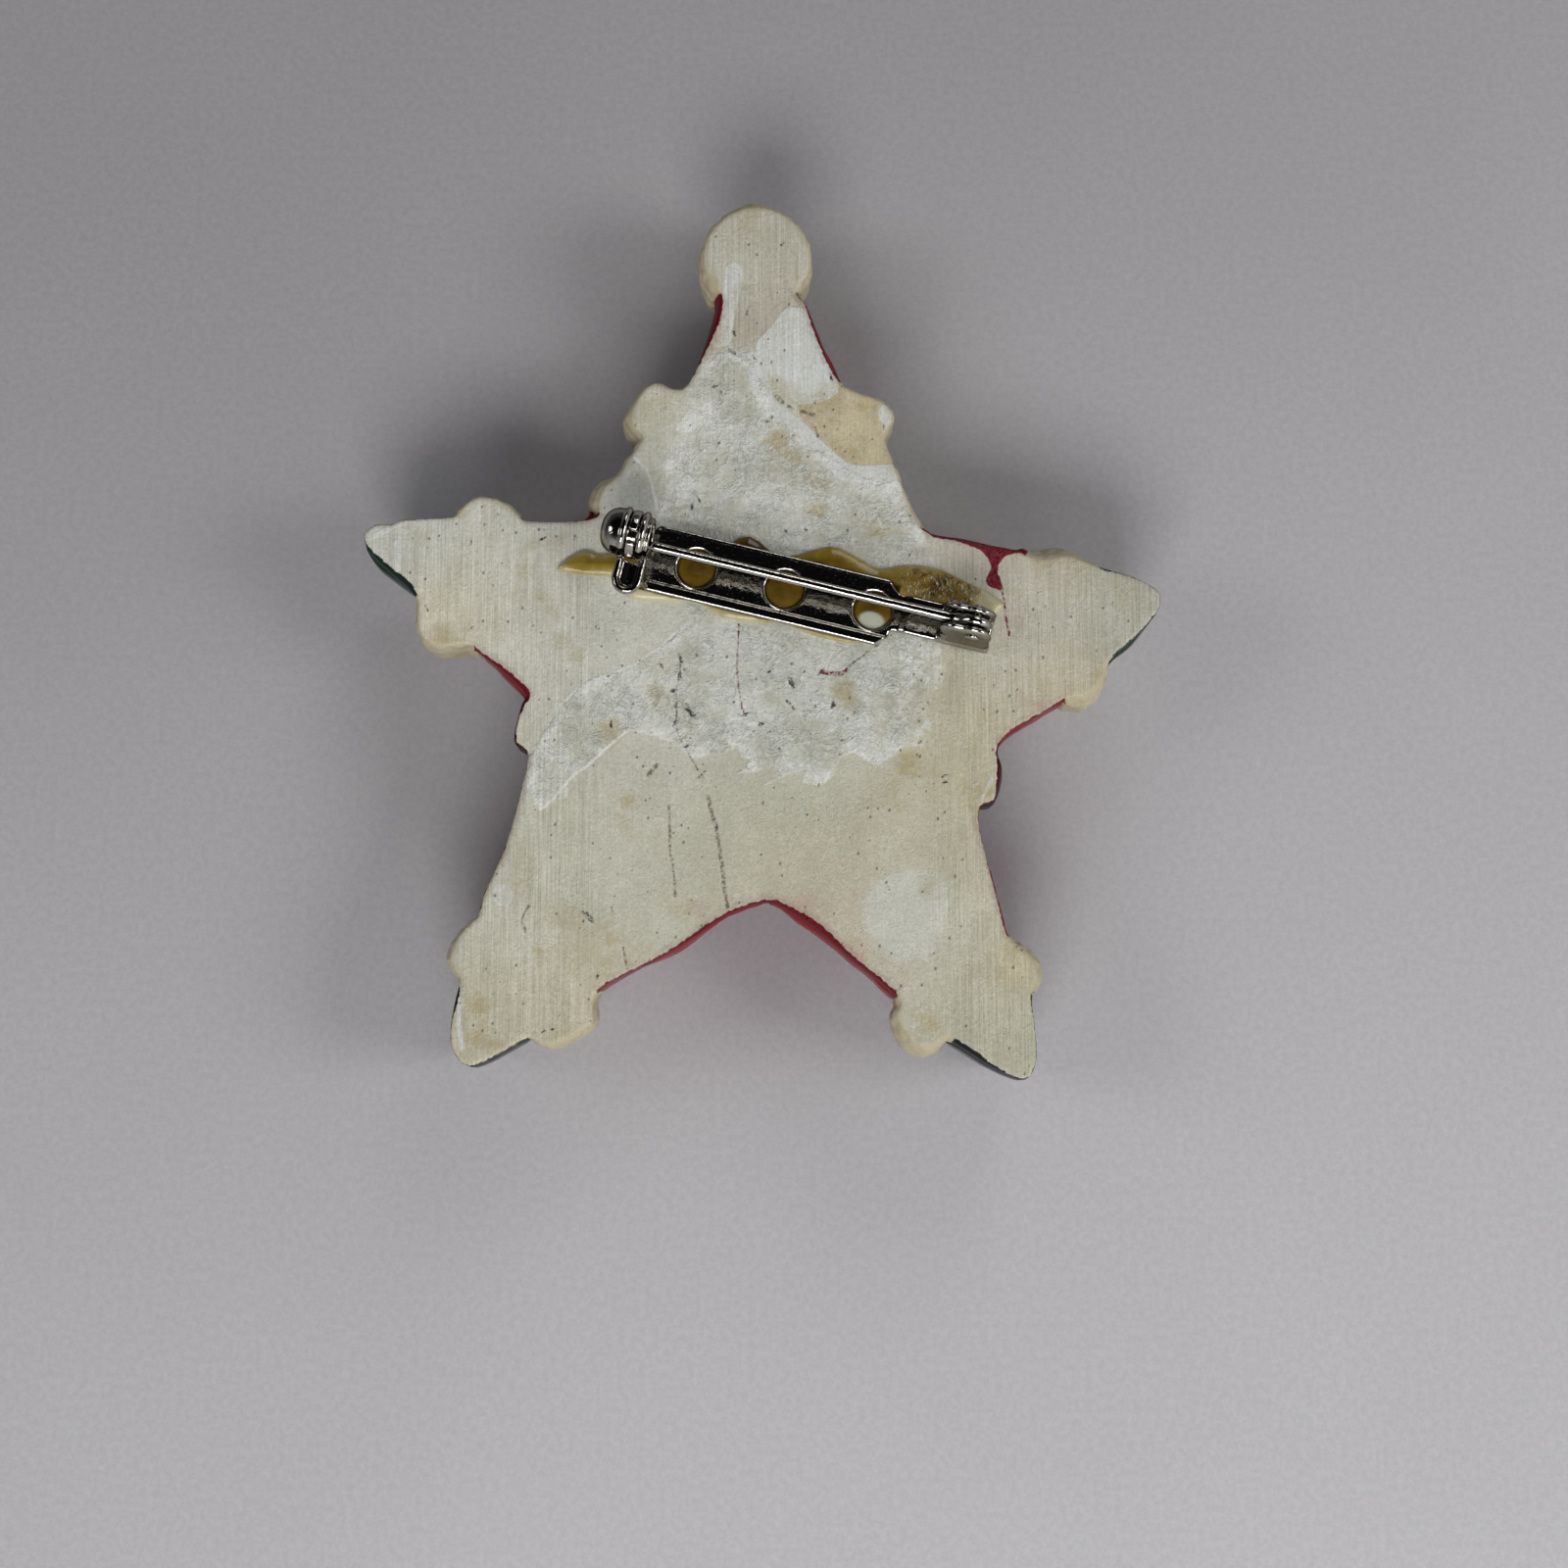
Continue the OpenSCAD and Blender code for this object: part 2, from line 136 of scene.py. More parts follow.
class Kit:
    """Short names for the nodes that feed a shader's sockets."""

    def __init__(self, tree, shader_name):
        self.tree = tree
        self.shader = tree.nodes[shader_name]

    def add(self, kind, **values):
        node = self.tree.nodes.new(kind)
        for key, value in values.items():
            setattr(node, key, value)
        return node

    def join(self, source, socket):
        if hasattr(source, "is_output"):
            self.tree.links.new(source, socket)
        else:
            socket.default_value = source

    def put(self, name, source):
        self.join(source, self.shader.inputs[name])

    def coordinates(self, kind="Object"):
        return self.add("ShaderNodeTexCoord").outputs[kind]

    def millimetres(self, stretch=(1, 1, 1)):
        """Object coordinates in millimetres, stretched along each axis."""
        m = self.add("ShaderNodeMapping")
        m.inputs["Scale"].default_value = [s / MM for s in stretch]
        self.join(self.coordinates(), m.inputs["Vector"])
        return m.outputs["Vector"]

    def noise(self, scale, detail=3, rough=0.5, stretch=(1, 1, 1), warp=0):
        n = self.add("ShaderNodeTexNoise")
        self.join(self.millimetres(stretch), n.inputs["Vector"])
        n.inputs["Scale"].default_value = scale
        n.inputs["Detail"].default_value = detail
        n.inputs["Roughness"].default_value = rough
        n.inputs["Distortion"].default_value = warp
        return n.outputs["Fac"]

    def cells(self, scale, stretch=(1, 1, 1)):
        v = self.add("ShaderNodeTexVoronoi")
        self.join(self.millimetres(stretch), v.inputs["Vector"])
        v.inputs["Scale"].default_value = scale
        return v.outputs["Distance"]

    def value(self, name):
        return self.add("ShaderNodeAttribute", attribute_name=name).outputs["Fac"]

    def tint(self, name):
        return self.add("ShaderNodeAttribute", attribute_name=name).outputs["Color"]

    def math(self, kind, a, *others):
        """One node for each further term, worked from the left."""
        for b in others:
            n = self.add("ShaderNodeMath", operation=kind)
            self.join(a, n.inputs[0])
            self.join(b, n.inputs[1])
            a = n.outputs[0]
        return a

    def times(self, *factors):
        return self.math("MULTIPLY", *factors)

    def plus(self, *terms):
        return self.math("ADD", *terms)

    def minus(self, a, b):
        return self.math("SUBTRACT", a, b)

    def most(self, a, b):
        return self.math("MAXIMUM", a, b)

    def swing(self, noise, much):
        """Noise as a number either side of 0."""
        return self.times(self.minus(noise, 0.5), much)

    def ridged(self, *settings, **more):
        """Noise folded over its middle: 1 along winding lines."""
        folded = self.math("ABSOLUTE", self.minus(self.noise(*settings, **more), 0.5), 0.0)
        return self.minus(1.0, self.times(folded, 2.0))

    def shade(self, amount, colour, tone):
        """Multiplies a colour by a tone, by some amount."""
        return self.mix(amount, colour, tone, "MULTIPLY")

    def split(self, vector, axis):
        s = self.add("ShaderNodeSeparateXYZ")
        self.join(vector, s.inputs[0])
        return s.outputs[axis]

    def step(self, x, start, end):
        """0 at start, 1 at end, smooth between; start may be the larger."""
        n = self.add("ShaderNodeMapRange", interpolation_type="SMOOTHSTEP")
        self.join(x, n.inputs["Value"])
        n.inputs["From Min"].default_value = min(start, end)
        n.inputs["From Max"].default_value = max(start, end)
        n.inputs["To Min"].default_value = float(start > end)
        n.inputs["To Max"].default_value = float(start <= end)
        return n.outputs["Result"]

    def mix(self, amount, a, b, blend="MIX"):
        n = self.add("ShaderNodeMix", data_type="RGBA", blend_type=blend)
        self.join(amount, n.inputs["Factor"])
        self.join(a if hasattr(a, "is_output") else (*a[:3], 1), n.inputs["A"])
        self.join(b if hasattr(b, "is_output") else (*b[:3], 1), n.inputs["B"])
        return n.outputs["Result"]

    def blend(self, amount, a, b):
        """A number between two numbers."""
        return self.plus(self.times(amount, self.minus(b, a)), a)

    def ramp(self, x, stops):
        r = self.add("ShaderNodeValToRGB")
        self.join(x, r.inputs["Fac"])
        while len(r.color_ramp.elements) < len(stops):
            r.color_ramp.elements.new(0.5)
        for element, (place, colour) in zip(r.color_ramp.elements, stops):
            element.position = place
            element.color = (*colour, 1)
        return r.outputs["Color"]

    def bump(self, height, depth, under=None):
        """Depth is the height's span in millimetres."""
        b = self.add("ShaderNodeBump")
        b.inputs["Strength"].default_value = 1.0
        b.inputs["Distance"].default_value = depth * MM
        self.join(height, b.inputs["Height"])
        if under:
            self.join(under, b.inputs["Normal"])
        return b.outputs["Normal"]


def material(name, roughness=0.5):
    m = bpy.data.materials.new(name)
    m.use_nodes = True
    kit = Kit(m.node_tree, "Principled BSDF")
    kit.put("Roughness", roughness)
    return m, kit


def paper():
    """Pale paper with painted shade that darkens it a little away from the window, and a fine grain."""
    m, kit = material("floor_paper", roughness=0.7)
    place = kit.millimetres()
    # painted shade: the paper's colour darkens towards the top and a little towards the left
    away = kit.minus(kit.split(place, 1), kit.times(kit.split(place, 0), 0.4))
    tone = kit.mix(kit.step(away, 100.0, -110.0), seen(138, 136, 138), seen(172, 171, 174))
    cloud = kit.noise(0.02, 3)
    tone = kit.shade(kit.step(cloud, 0.3, 0.7), tone, (0.95, 0.95, 0.96))
    grain = kit.noise(1.8, 3, 0.8)
    speckle = kit.mix(kit.step(grain, 0.3, 0.7), (0.93, 0.93, 0.93), (1.06, 1.06, 1.06))
    kit.put("Base Color", kit.shade(1.0, tone, speckle))
    return m


# ------------ number fields


def chance(ix, iy, iz, seed):
    """A repeatable number from 0 to 1 for each whole-numbered cell."""
    h = (ix * 374761393 + iy * 668265263 + iz * 1440662683 + seed * 974634777) & 0xFFFFFFFF
    h = ((h ^ (h >> 13)) * 1274126177) & 0xFFFFFFFF
    h = ((h ^ (h >> 16)) * 2246822519) & 0xFFFFFFFF
    return ((h ^ (h >> 15)) & 0xFFFFFF) / float(0xFFFFFF)


def noise(p, scale, seed=0, octaves=1):
    """Smooth noise from -1 to 1 at points p; scale is the size of a lump."""
    total, weight, size = 0.0, 1.0, scale
    for octave in range(octaves):
        q = p / size
        cell = np.floor(q).astype(np.int64)
        t = q - cell
        t = t * t * (3 - 2 * t)
        value = 0.0
        for corner in np.ndindex(2, 2, 2):
            w = np.prod(np.where(np.array(corner), t, 1 - t), axis=-1)
            ix, iy, iz = (cell[..., i] + corner[i] for i in range(3))
            value = value + w * chance(ix, iy, iz, seed + octave)
        total = total + weight * (2 * value - 1)
        weight *= 0.5
        size *= 0.5
    return total


def lumps(p, size, seed=0):
    """Round lumps packed side by side, 0 in the creases and 1 on top."""
    q = p / size
    cell = np.floor(q).astype(np.int64)
    nearest = np.full(q.shape[:-1], 9.0)
    for offset in np.ndindex(3, 3, 3):
        c = cell + np.array(offset) - 1
        ix, iy, iz = (c[..., i] for i in range(3))
        at = np.stack([chance(ix, iy, iz, seed + s) for s in range(3)], -1) * 0.8 + 0.1
        nearest = np.minimum(nearest, ((q - c - at) ** 2).sum(-1))
    return np.sqrt(np.clip(1 - nearest, 0, 1))


def smax(a, b, k):
    """The larger of two fields, its corner rounded over k."""
    h = np.clip(1 - np.abs(a - b) / k, 0, 1)
    return np.maximum(a, b) + h * h * k / 4


def smin(a, b, k):
    return -smax(-a, -b, k)


def overlap(*fields):
    """What several solids share, with sharp edges."""
    shared = fields[0]
    for field in fields[1:]:
        shared = np.maximum(shared, field)
    return shared


def to_segment(x, y, a, b):
    dx, dy = b[0] - a[0], b[1] - a[1]
    t = np.clip(((x - a[0]) * dx + (y - a[1]) * dy) / max(dx * dx + dy * dy, 1e-12), 0, 1)
    return (x - a[0] - t * dx) ** 2 + (y - a[1] - t * dy) ** 2


def to_path(x, y, path):
    """Distance to an open line through points."""
    nearest = np.full(np.shape(x), 1e9)
    for a, b in zip(path[:-1], path[1:]):
        nearest = np.minimum(nearest, to_segment(x, y, a, b))
    return np.sqrt(nearest)


def to_loop(x, y, loop):
    """Signed distance to a closed outline, negative inside."""
    nearest = np.full(np.shape(x), 1e9)
    inside = np.zeros(np.shape(x), bool)
    for a, b in zip(loop, np.roll(loop, -1, axis=0)):
        nearest = np.minimum(nearest, to_segment(x, y, a, b))
        if a[1] != b[1]:
            crosses = (y < a[1]) != (y < b[1])
            inside ^= crosses & (x < a[0] + (y - a[1]) * (b[0] - a[0]) / (b[1] - a[1]))
    return np.where(inside, -1, 1) * np.sqrt(nearest)


def rounded(knots, steps):
    """A smooth closed line through the knots."""
    p = np.array(knots, float)
    t = np.linspace(0, 1, steps, endpoint=False)[:, None]
    arcs = []
    for i in range(len(p)):
        a, b, c, d = (p[j % len(p)] for j in (i - 1, i, i + 1, i + 2))
        bend = (2 * a - 5 * b + 4 * c - d) * t**2 + (3 * b - a - 3 * c + d) * t**3
        arcs.append(0.5 * (2 * b + (c - a) * t + bend))
    return np.concatenate(arcs)


def bumps(x, y, table):
    """A sum of soft bumps, each given as its place, reach and height."""
    return sum(much * bell(x, y, at, reach) for at, reach, much in table)


def bell(x, y, at, reach):
    return np.exp(-((x - at[0]) ** 2 + (y - at[1]) ** 2) / (2 * reach**2))


# ------------ fields to meshes


def surface(field, low, high, step):
    """Closed surface where field(points) is 0, as vertices and quads: one vertex to a mixed cell."""
    low, high, step = (np.broadcast_to(np.array(v, float), 3) for v in (low, high, step))
    count = np.ceil((high - low) / step).astype(int) + 1
    axes = [low[i] + step[i] * np.arange(count[i]) for i in range(3)]
    grid = np.stack(np.meshgrid(*axes, indexing="ij"), -1)
    v = field(grid)
    for axis in range(3):  # nothing reaches the grid's own walls
        edge = [slice(None)] * 3
        for end in (0, -1):
            edge[axis] = end
            v[tuple(edge)] = np.maximum(v[tuple(edge)], 0.01)
    within = v < 0
    corners = [tuple(c) for c in np.ndindex(2, 2, 2)]
    cut = [slice(None, -1), slice(1, None)]

    def pick(a, c):
        return a[cut[c[0]], cut[c[1]], cut[c[2]]]

    total = sum(pick(within, c).astype(int) for c in corners)
    mixed = (total > 0) & (total < 8)
    index = np.full(mixed.shape, -1)
    index[mixed] = np.arange(mixed.sum())
    where = np.argwhere(mixed)
    spot, weight = np.zeros((len(where), 3)), np.zeros(len(where))
    for a in corners:
        for axis in range(3):
            if a[axis]:
                continue
            b = tuple(1 if i == axis else a[i] for i in range(3))
            va, vb = pick(v, a)[mixed], pick(v, b)[mixed]
            crosses = (va < 0) != (vb < 0)
            t = np.where(crosses, va / np.where(crosses, va - vb, 1), 0)
            at = np.array(a, float) + t[:, None] * (np.array(b) - np.array(a))
            spot += at * crosses[:, None]
            weight += crosses
    verts = low + (where + spot / weight[:, None]) * step
    quads = []
    for axis in range(3):
        u, w = (axis + 1) % 3, (axis + 2) % 3
        here = [slice(1, -1)] * 3
        here[axis] = slice(None, -1)
        there = list(here)
        there[axis] = slice(1, None)
        a, b = within[tuple(here)], within[tuple(there)]
        at = np.argwhere(a != b)
        flip = a[a != b]
        base = at.copy()
        base[:, u] += 1
        base[:, w] += 1
        ring = []
        for du, dw in ((0, 0), (1, 0), (1, 1), (0, 1)):
            cell = base.copy()
            cell[:, u] -= du
            cell[:, w] -= dw
            ring.append(index[tuple(cell.T)])
        q = np.stack(ring, 1)
        quads.append(np.where(flip[:, None], q, q[:, ::-1]))
    return verts, np.concatenate(quads)


def piece(name, verts, faces, body, slot_name, look):
    """A mesh in millimetres that stands for the CAD node of its name and rides on its body."""
    mesh = bpy.data.meshes.new(name)
    mesh.from_pydata((np.asarray(verts) * MM).tolist(), [], [tuple(int(i) for i in f) for f in faces])
    mesh.update()
    mesh.shade_smooth()
    thing = bpy.data.objects.new(name, mesh)
    bpy.context.scene.collection.objects.link(thing)
    mesh.materials.append(look)
    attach(thing, body)
    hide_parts(name)
    return thing


def places(thing):
    """A piece's vertices, in millimetres."""
    co = np.empty(len(thing.data.vertices) * 3)
    thing.data.vertices.foreach_get("co", co)
    return co.reshape(-1, 3) / MM


def attribute(thing, name, values):
    """Stores a number, or a colour, on each vertex for the material to read."""
    values = np.asarray(values, np.float32)
    if values.ndim == 1:
        thing.data.attributes.new(name, "FLOAT", "POINT").data.foreach_set("value", values)
    else:
        full = np.concatenate([values, np.ones((len(values), 1), np.float32)], 1)
        thing.data.attributes.new(name, "FLOAT_COLOR", "POINT").data.foreach_set("color", full.ravel())


# ------------ the casting's plan


def top_loop(name):
    """The outline of a CAD node's highest flat face."""
    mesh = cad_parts[name].data
    co = np.array([v.co[:] for v in mesh.vertices]) / MM
    top = co[:, 2].max()
    key = [tuple(np.round(c[:2], 3)) for c in co]
    edges = {}
    mesh.calc_loop_triangles()
    for t in mesh.loop_triangles:
        if all(abs(co[i][2] - top) < 1e-3 for i in t.vertices):
            ids = [key[i] for i in t.vertices]
            for a, b in zip(ids, ids[1:] + ids[:1]):
                if (b, a) in edges:
                    del edges[(b, a)]
                else:
                    edges[(a, b)] = True
    follow = {a: b for a, b in edges}
    start = next(iter(follow))
    loop, at = [start], follow[start]
    while at != start:
        loop.append(at)
        at = follow[at]
    return np.array(loop)


REGIONS = ["pompom", "hat", "hat_brim", "hair", "coat", "left_sleeve", "right_sleeve", "left_wrist_cuff",
           "right_wrist_cuff", "left_mitten", "right_mitten", "belt", "left_leg", "right_leg",
           "left_ankle_cuff", "right_ankle_cuff", "left_boot", "right_boot"]
PLAN_STEP = 0.25
MARGIN = 1.5
plan_low = node_box("back_slab")[0][:2] - MARGIN
plan_high = node_box("back_slab")[1][:2] + MARGIN
plan_x, plan_y = np.meshgrid(np.arange(plan_low[0], plan_high[0], PLAN_STEP),
                             np.arange(plan_low[1], plan_high[1], PLAN_STEP), indexing="ij")

def sample(field, x, y):
    """Reads a plan field between its grid points."""
    gx = np.clip((x - plan_low[0]) / PLAN_STEP, 0, field.shape[0] - 1.001)
    gy = np.clip((y - plan_low[1]) / PLAN_STEP, 0, field.shape[1] - 1.001)
    ix, iy = gx.astype(int), gy.astype(int)
    tx, ty = gx - ix, gy - iy
    return ((1 - tx) * (1 - ty) * field[ix, iy] + tx * (1 - ty) * field[ix + 1, iy]
            + (1 - tx) * ty * field[ix, iy + 1] + tx * ty * field[ix + 1, iy + 1])


def columns(p):
    """The x and y of a grid's upright columns."""
    return p[:, :, 0, 0], p[:, :, 0, 1]


def upright(field, p):
    """A plan field over a grid, the same all the way up each column."""
    return sample(field, *columns(p))[:, :, None]


edge_plan = to_loop(plan_x, plan_y, top_loop("back_slab"))
region_plan = {name: to_loop(plan_x, plan_y, top_loop(name)) for name in REGIONS if name != "pompom"}
neck_y = node_box("pompom")[0][1]
region_plan["pompom"] = neck_y - plan_y
BOOT_INNER_X = 14.2  # the right boot stays clear of the swollen cuff beside it
region_plan["right_boot"] += 3 * np.clip(BOOT_INNER_X - plan_x, 0, 1)
stack = np.stack([region_plan[name] for name in REGIONS])
order = np.sort(stack, axis=0)
nearest_region = stack.argmin(axis=0)
parting = {}
for i, name in enumerate(REGIONS):
    others = np.where(stack[i] <= order[0], order[1], order[0])
    parting[name] = (stack[i] - others) / 2

# Where the padded edge swells further past the back's rim: place, reach and how much
SWELLS = [
    ((23.3, 6.4), 1.7, 1.5), ((21.2, -26.5), 1.6, 0.75), ((4, -22.8), 2.6, 0.3), ((9, -26.8), 2, 0.15),
    ((-19.6, -4.2), 1.4, 0.2), ((12, -32), 1.5, 0.9), ((-10.5, 18), 1.4, 0.8), ((26.3, -4.6), 1.4, 0.55),
    ((-13, 11.6), 1.3, 1.5), ((18.9, -11.4), 1.4, 0.3), ((16.8, -32.8), 1.8, 0.18),
    ((-29.6, 5.4), 1.8, 0.15), ((-24.4, -25), 1.4, 0.45), ((-4, 26), 2.6, 0.6), ((4.8, 24), 3, 0.42),
    ((-4.4, 31.6), 1.6, 0.35), ((-0.5, 36.4), 2, 1), ((-15.5, -30.8), 1.4, 0.3), ((-26.6, 0.2), 1.2, 0.2),
    ((17.2, 7.9), 3, 0.4)]
BASE_SWELL = 0.04
swell_plan = BASE_SWELL + bumps(plan_x, plan_y, SWELLS)
SEAM_Z = 9.6  # the back slab ends here, and the painted regions begin
EDGE_ROUND = 3.0


def rim(z, swell, low, edge_round):
    """How far in from the outline the side wall stands at height z: a swell, then the front's curve."""
    above = -swell * np.sin(np.pi / 2 * np.clip((BACK_Z - z) / (BACK_Z - SLAB_LOW), 0, 1))
    t = np.clip((SLAB_LOW - z) / (SLAB_LOW - low), 0, 1)
    return above + edge_round * (1 - np.sqrt(np.clip(1 - t * t, 0, 1)))


make_camera()
make_studio()


# ------------ the casting's colours

FUR_SEEN = (158, 150, 126)
RED_SEEN = (88, 14, 24)
GREEN_SEEN = (18, 34, 27)
BLACK_SEEN = (22, 22, 24)
# The paint on the slab's wall over each region, where it isn't the fur's
WALLS = {"hat": RED_SEEN, "coat": RED_SEEN, "belt": (58, 14, 20)}
LIMB_WALLS = {"sleeve": RED_SEEN, "leg": RED_SEEN, "mitten": GREEN_SEEN, "boot": BLACK_SEEN}
WALLS.update({f"{side}_{part}": tone for side in ("left", "right") for part, tone in LIMB_WALLS.items()})
HALOS = {RED_SEEN: 0.6, None: 1.0}  # how much of each wall's colour lies along the back's edge: red paint run over, and painted shade beside the fur

# The bare back's colour in soft spots: place, reach, colour as seen
SPOTS = [
    ((-0.5, 32.5), 3.5, (170, 168, 155)), ((0, 26.5), 1.8, (160, 154, 140)),
    ((-8, 18.5), 3, (172, 170, 156)), ((-3, 14.5), 4, (175, 175, 162)), ((2, 11.5), 4, (180, 180, 170)),
    ((9.5, 9), 3, (175, 174, 162)), ((2, 15), 1.6, (175, 168, 148)), ((-17, 4), 6, (182, 182, 172)),
    ((-25, 1.5), 3, (186, 181, 160)), ((-28.5, 8), 3, (180, 182, 176)), ((21, 2), 4, (170, 168, 156)),
    ((29, 3), 3, (158, 158, 144)), ((24, 6), 1.8, (168, 160, 138)), ((15.5, 6.5), 2, (172, 168, 155)),
    ((-9, -4), 5, (178, 178, 168)), ((4, -5), 5, (168, 169, 158)), ((0, -16), 6, (170, 168, 150)),
    ((9, -15), 4, (168, 165, 145)), ((15, -9), 3.5, (172, 166, 142)), ((16, -16), 3, (170, 165, 142)),
    ((-14, -17), 5, (176, 175, 160)), ((-19, -25), 3.5, (182, 181, 168)),
    ((-21, -30), 3, (176, 172, 150)), ((-15, -29), 3, (175, 168, 144)), ((5, -22), 3, (172, 160, 140)),
    ((13, -22), 4, (178, 176, 160)), ((18.5, -31), 3, (170, 168, 148)),
    ((20.5, -26.5), 1.5, (176, 166, 135)), ((24, -4), 1.8, (172, 163, 138))]

WHITE_LOOPS = [
    [(-3, 30.2), (-2.7, 30.8), (-1.9, 30.8), (-1.6, 30.2), (-1.7, 28.8), (-2, 27.5), (-2.3, 26),
     (-2.7, 24), (-4.1, 23.9), (-3.9, 25), (-3.4, 27.5), (-3.1, 28.8)],
    [(2.2, 27.1), (3.3, 27), (3.9, 26.3), (4.4, 25.2), (4.8, 24), (5.3, 22.8), (5.9, 21.5), (6.2, 20.6),
     (6.1, 20), (5.5, 19.5), (4.5, 19.15), (3.5, 19), (2.7, 19.3), (1, 21), (0, 22.5), (-0.5, 23.9),
     (0.1, 24.8), (0.9, 25.7), (1.6, 26.7)],
    [(9.4, 18.1), (9.7, 19), (10.2, 18.9), (10.5, 18), (10.4, 17.2), (9.9, 17.1)],
    [(-21.1, -20.8), (-20.9, -20), (-20.2, -20), (-19.6, -20.4), (-19.5, -21.1), (-20, -21.6),
     (-20.8, -21.5)]]
WHITE_BANDS = [
    ([(-0.8, 22.7), (0, 20.5), (0.3, 19), (1.5, 18), (2.5, 17.3), (3.4, 16.5), (4.8, 15), (6.5, 13.5),
      (8, 13.2), (10.5, 13.3), (11.5, 12.7)], 0.7),
    ([(-4.6, 21.6), (-3.4, 22.8), (-1.8, 23), (-0.3, 22.4)], 0.4),
    ([(-28.2, 9.4), (-29.6, 8.9), (-31.2, 8)], 0.22), ([(-29.2, 7.4), (-29.2, 5.6)], 0.4),
    ([(-23.5, -29), (-23.6, -31), (-23.3, -32.8)], 0.2), ([(17.4, -13.2), (18.2, -11.6)], 0.16)]
TAN_LOOP = [
    (6.2, 20.7), (8.5, 19.8), (9.5, 19.3), (10, 16.5), (10.3, 15), (10.8, 13.8), (10.3, 13.6), (9, 13.7),
    (7.5, 13.6), (6.6, 13.8), (5.6, 14.6), (4.8, 15.4), (4, 16.3), (3.4, 17.5), (3, 18.3), (3, 19),
    (4, 19), (6.1, 20)]
SMEAR_LOOP = [
    (8.1, -21.3), (8.7, -19.9), (9.7, -19.3), (11, -18.9), (13, -18.6), (14.4, -19.2), (14.8, -21.5),
    (14.2, -24), (13, -26), (10.5, -26.2), (8.8, -24.6), (8, -22.8)]
GREY_LOOP = [
    (-10.9, 14.6), (-10.3, 14.5), (-9.3, 13.6), (-8.9, 12.5), (-8.6, 11.3), (-8.4, 9), (-9, 6.5),
    (-12.5, 6.5), (-13.2, 9), (-12.3, 12)]
# Chalky white area over the belly and head, with the jagged lower edge first
CHALK_LOOP = [
    (-14.8, -4.5), (-16.5, -6.5), (-17.6, -8.5), (-18.6, -9.8), (-18.9, -11.5), (-18.5, -12.5),
    (-18, -13.6), (-17.5, -14), (-16.5, -13.6), (-15.3, -12.9), (-15.4, -12), (-14.6, -10.9),
    (-13.5, -10.3), (-12.5, -9.3), (-11.5, -8.4), (-10.5, -7.6), (-8.5, -8), (-7, -8.6), (-5.4, -10),
    (-4.5, -9.7), (-3, -9.6), (-2, -9), (-1, -10.2), (-2, -11.2), (-0.5, -11), (1, -10.5), (1.3, -11.3),
    (0.3, -12), (2.5, -11.2), (3.5, -10.7), (3.2, -11.8), (5, -11.9), (5.6, -10.9), (6.3, -10),
    (7.2, -9.4), (8, -9.9), (9, -10.6), (9.8, -10.2), (11, -9.3), (12.3, -8.2), (13, -6.8), (13.2, -5),
    (13.6, -3), (14, 1), (14.2, 5), (13.2, 7.8), (12, 10), (11, 12.5), (8, 13), (4, 15.6), (1, 18),
    (0, 21.5), (-1.5, 23.8), (-4.2, 23.6), (-5.6, 20.8), (-6.5, 17), (-8, 14), (-8.4, 9), (-7, 3),
    (-5.5, 1.2), (-6.5, 0.5), (-8, -0.9), (-9.5, -1.9), (-11, -2.8), (-12.8, -3.3), (-14.5, -4.2)]
RIDGES = [
    ([(-5.5, 1.2), (-6.5, 0.5), (-8, -0.9), (-9.5, -1.9), (-11, -2.8), (-12.8, -3.3), (-14.5, -4.2),
      (-15.6, -5.3)], 0),
    ([(-17.5, -14), (-16.5, -13.2), (-15, -11.4), (-13.5, -10.3), (-12.5, -9.3), (-11.5, -8.4),
      (-10.6, -7.7)], 0),
    ([(-10.3, 14.6), (-9.3, 13.6), (-8.9, 12.5), (-8.6, 11.3), (-8.4, 10.3)], 0),
    ([(-2.6, 23.3), (-1.6, 22.6), (-0.8, 21.8), (-0.4, 20.8), (-0.2, 19.5)], 0)]
# Hairline cracks: points and half width
CRACKS = [
    ([(-6.4, -1.8), (-6.5, -3.4), (-6.8, -4.5), (-6.7, -5.8), (-6.8, -7.2), (-6.6, -8), (-6, -9.1),
      (-5, -10.9), (-4.5, -11.6)], 0.03),
    ([(-4.2, -13), (-4, -14), (-3.6, -15.3), (-3.3, -17), (-3, -19), (-2.9, -20.5), (-2.6, -21.8)], 0.1),
    ([(-7.3, -13.7), (-7.2, -15.5), (-7.2, -17), (-7, -18.3), (-6.8, -20), (-6.75, -20.9)], 0.06),
    ([(-10.8, -24.9), (-10.4, -27)], 0.04),
    ([(-18.2, -21.6), (-18.6, -22.2), (-18.8, -22.9), (-18.4, -23.8)], 0.05),
    ([(-8.9, -11.3), (-8.5, -10.7), (-8.3, -10.5)], 0.12), ([(0.7, 0), (0.9, 0.1)], 0.02),
    ([(6.8, -2.8), (7.3, -2.2), (8, -1.8), (8.8, -1), (9.5, -0.7)], 0.04),
    ([(1.2, 19.6), (1.7, 19.1)], 0.14), ([(3.2, 18.4), (4.2, 18.1)], 0.09),
    ([(4.3, 17.1), (4.5, 16.2)], 0.03), ([(0.4, 17.5), (0.8, 17.9)], 0.12),
    ([(-2.6, 23.5), (-2.2, 23.2)], 0.1), ([(2.1, 18.8), (2.5, 18.6)], 0.1)]
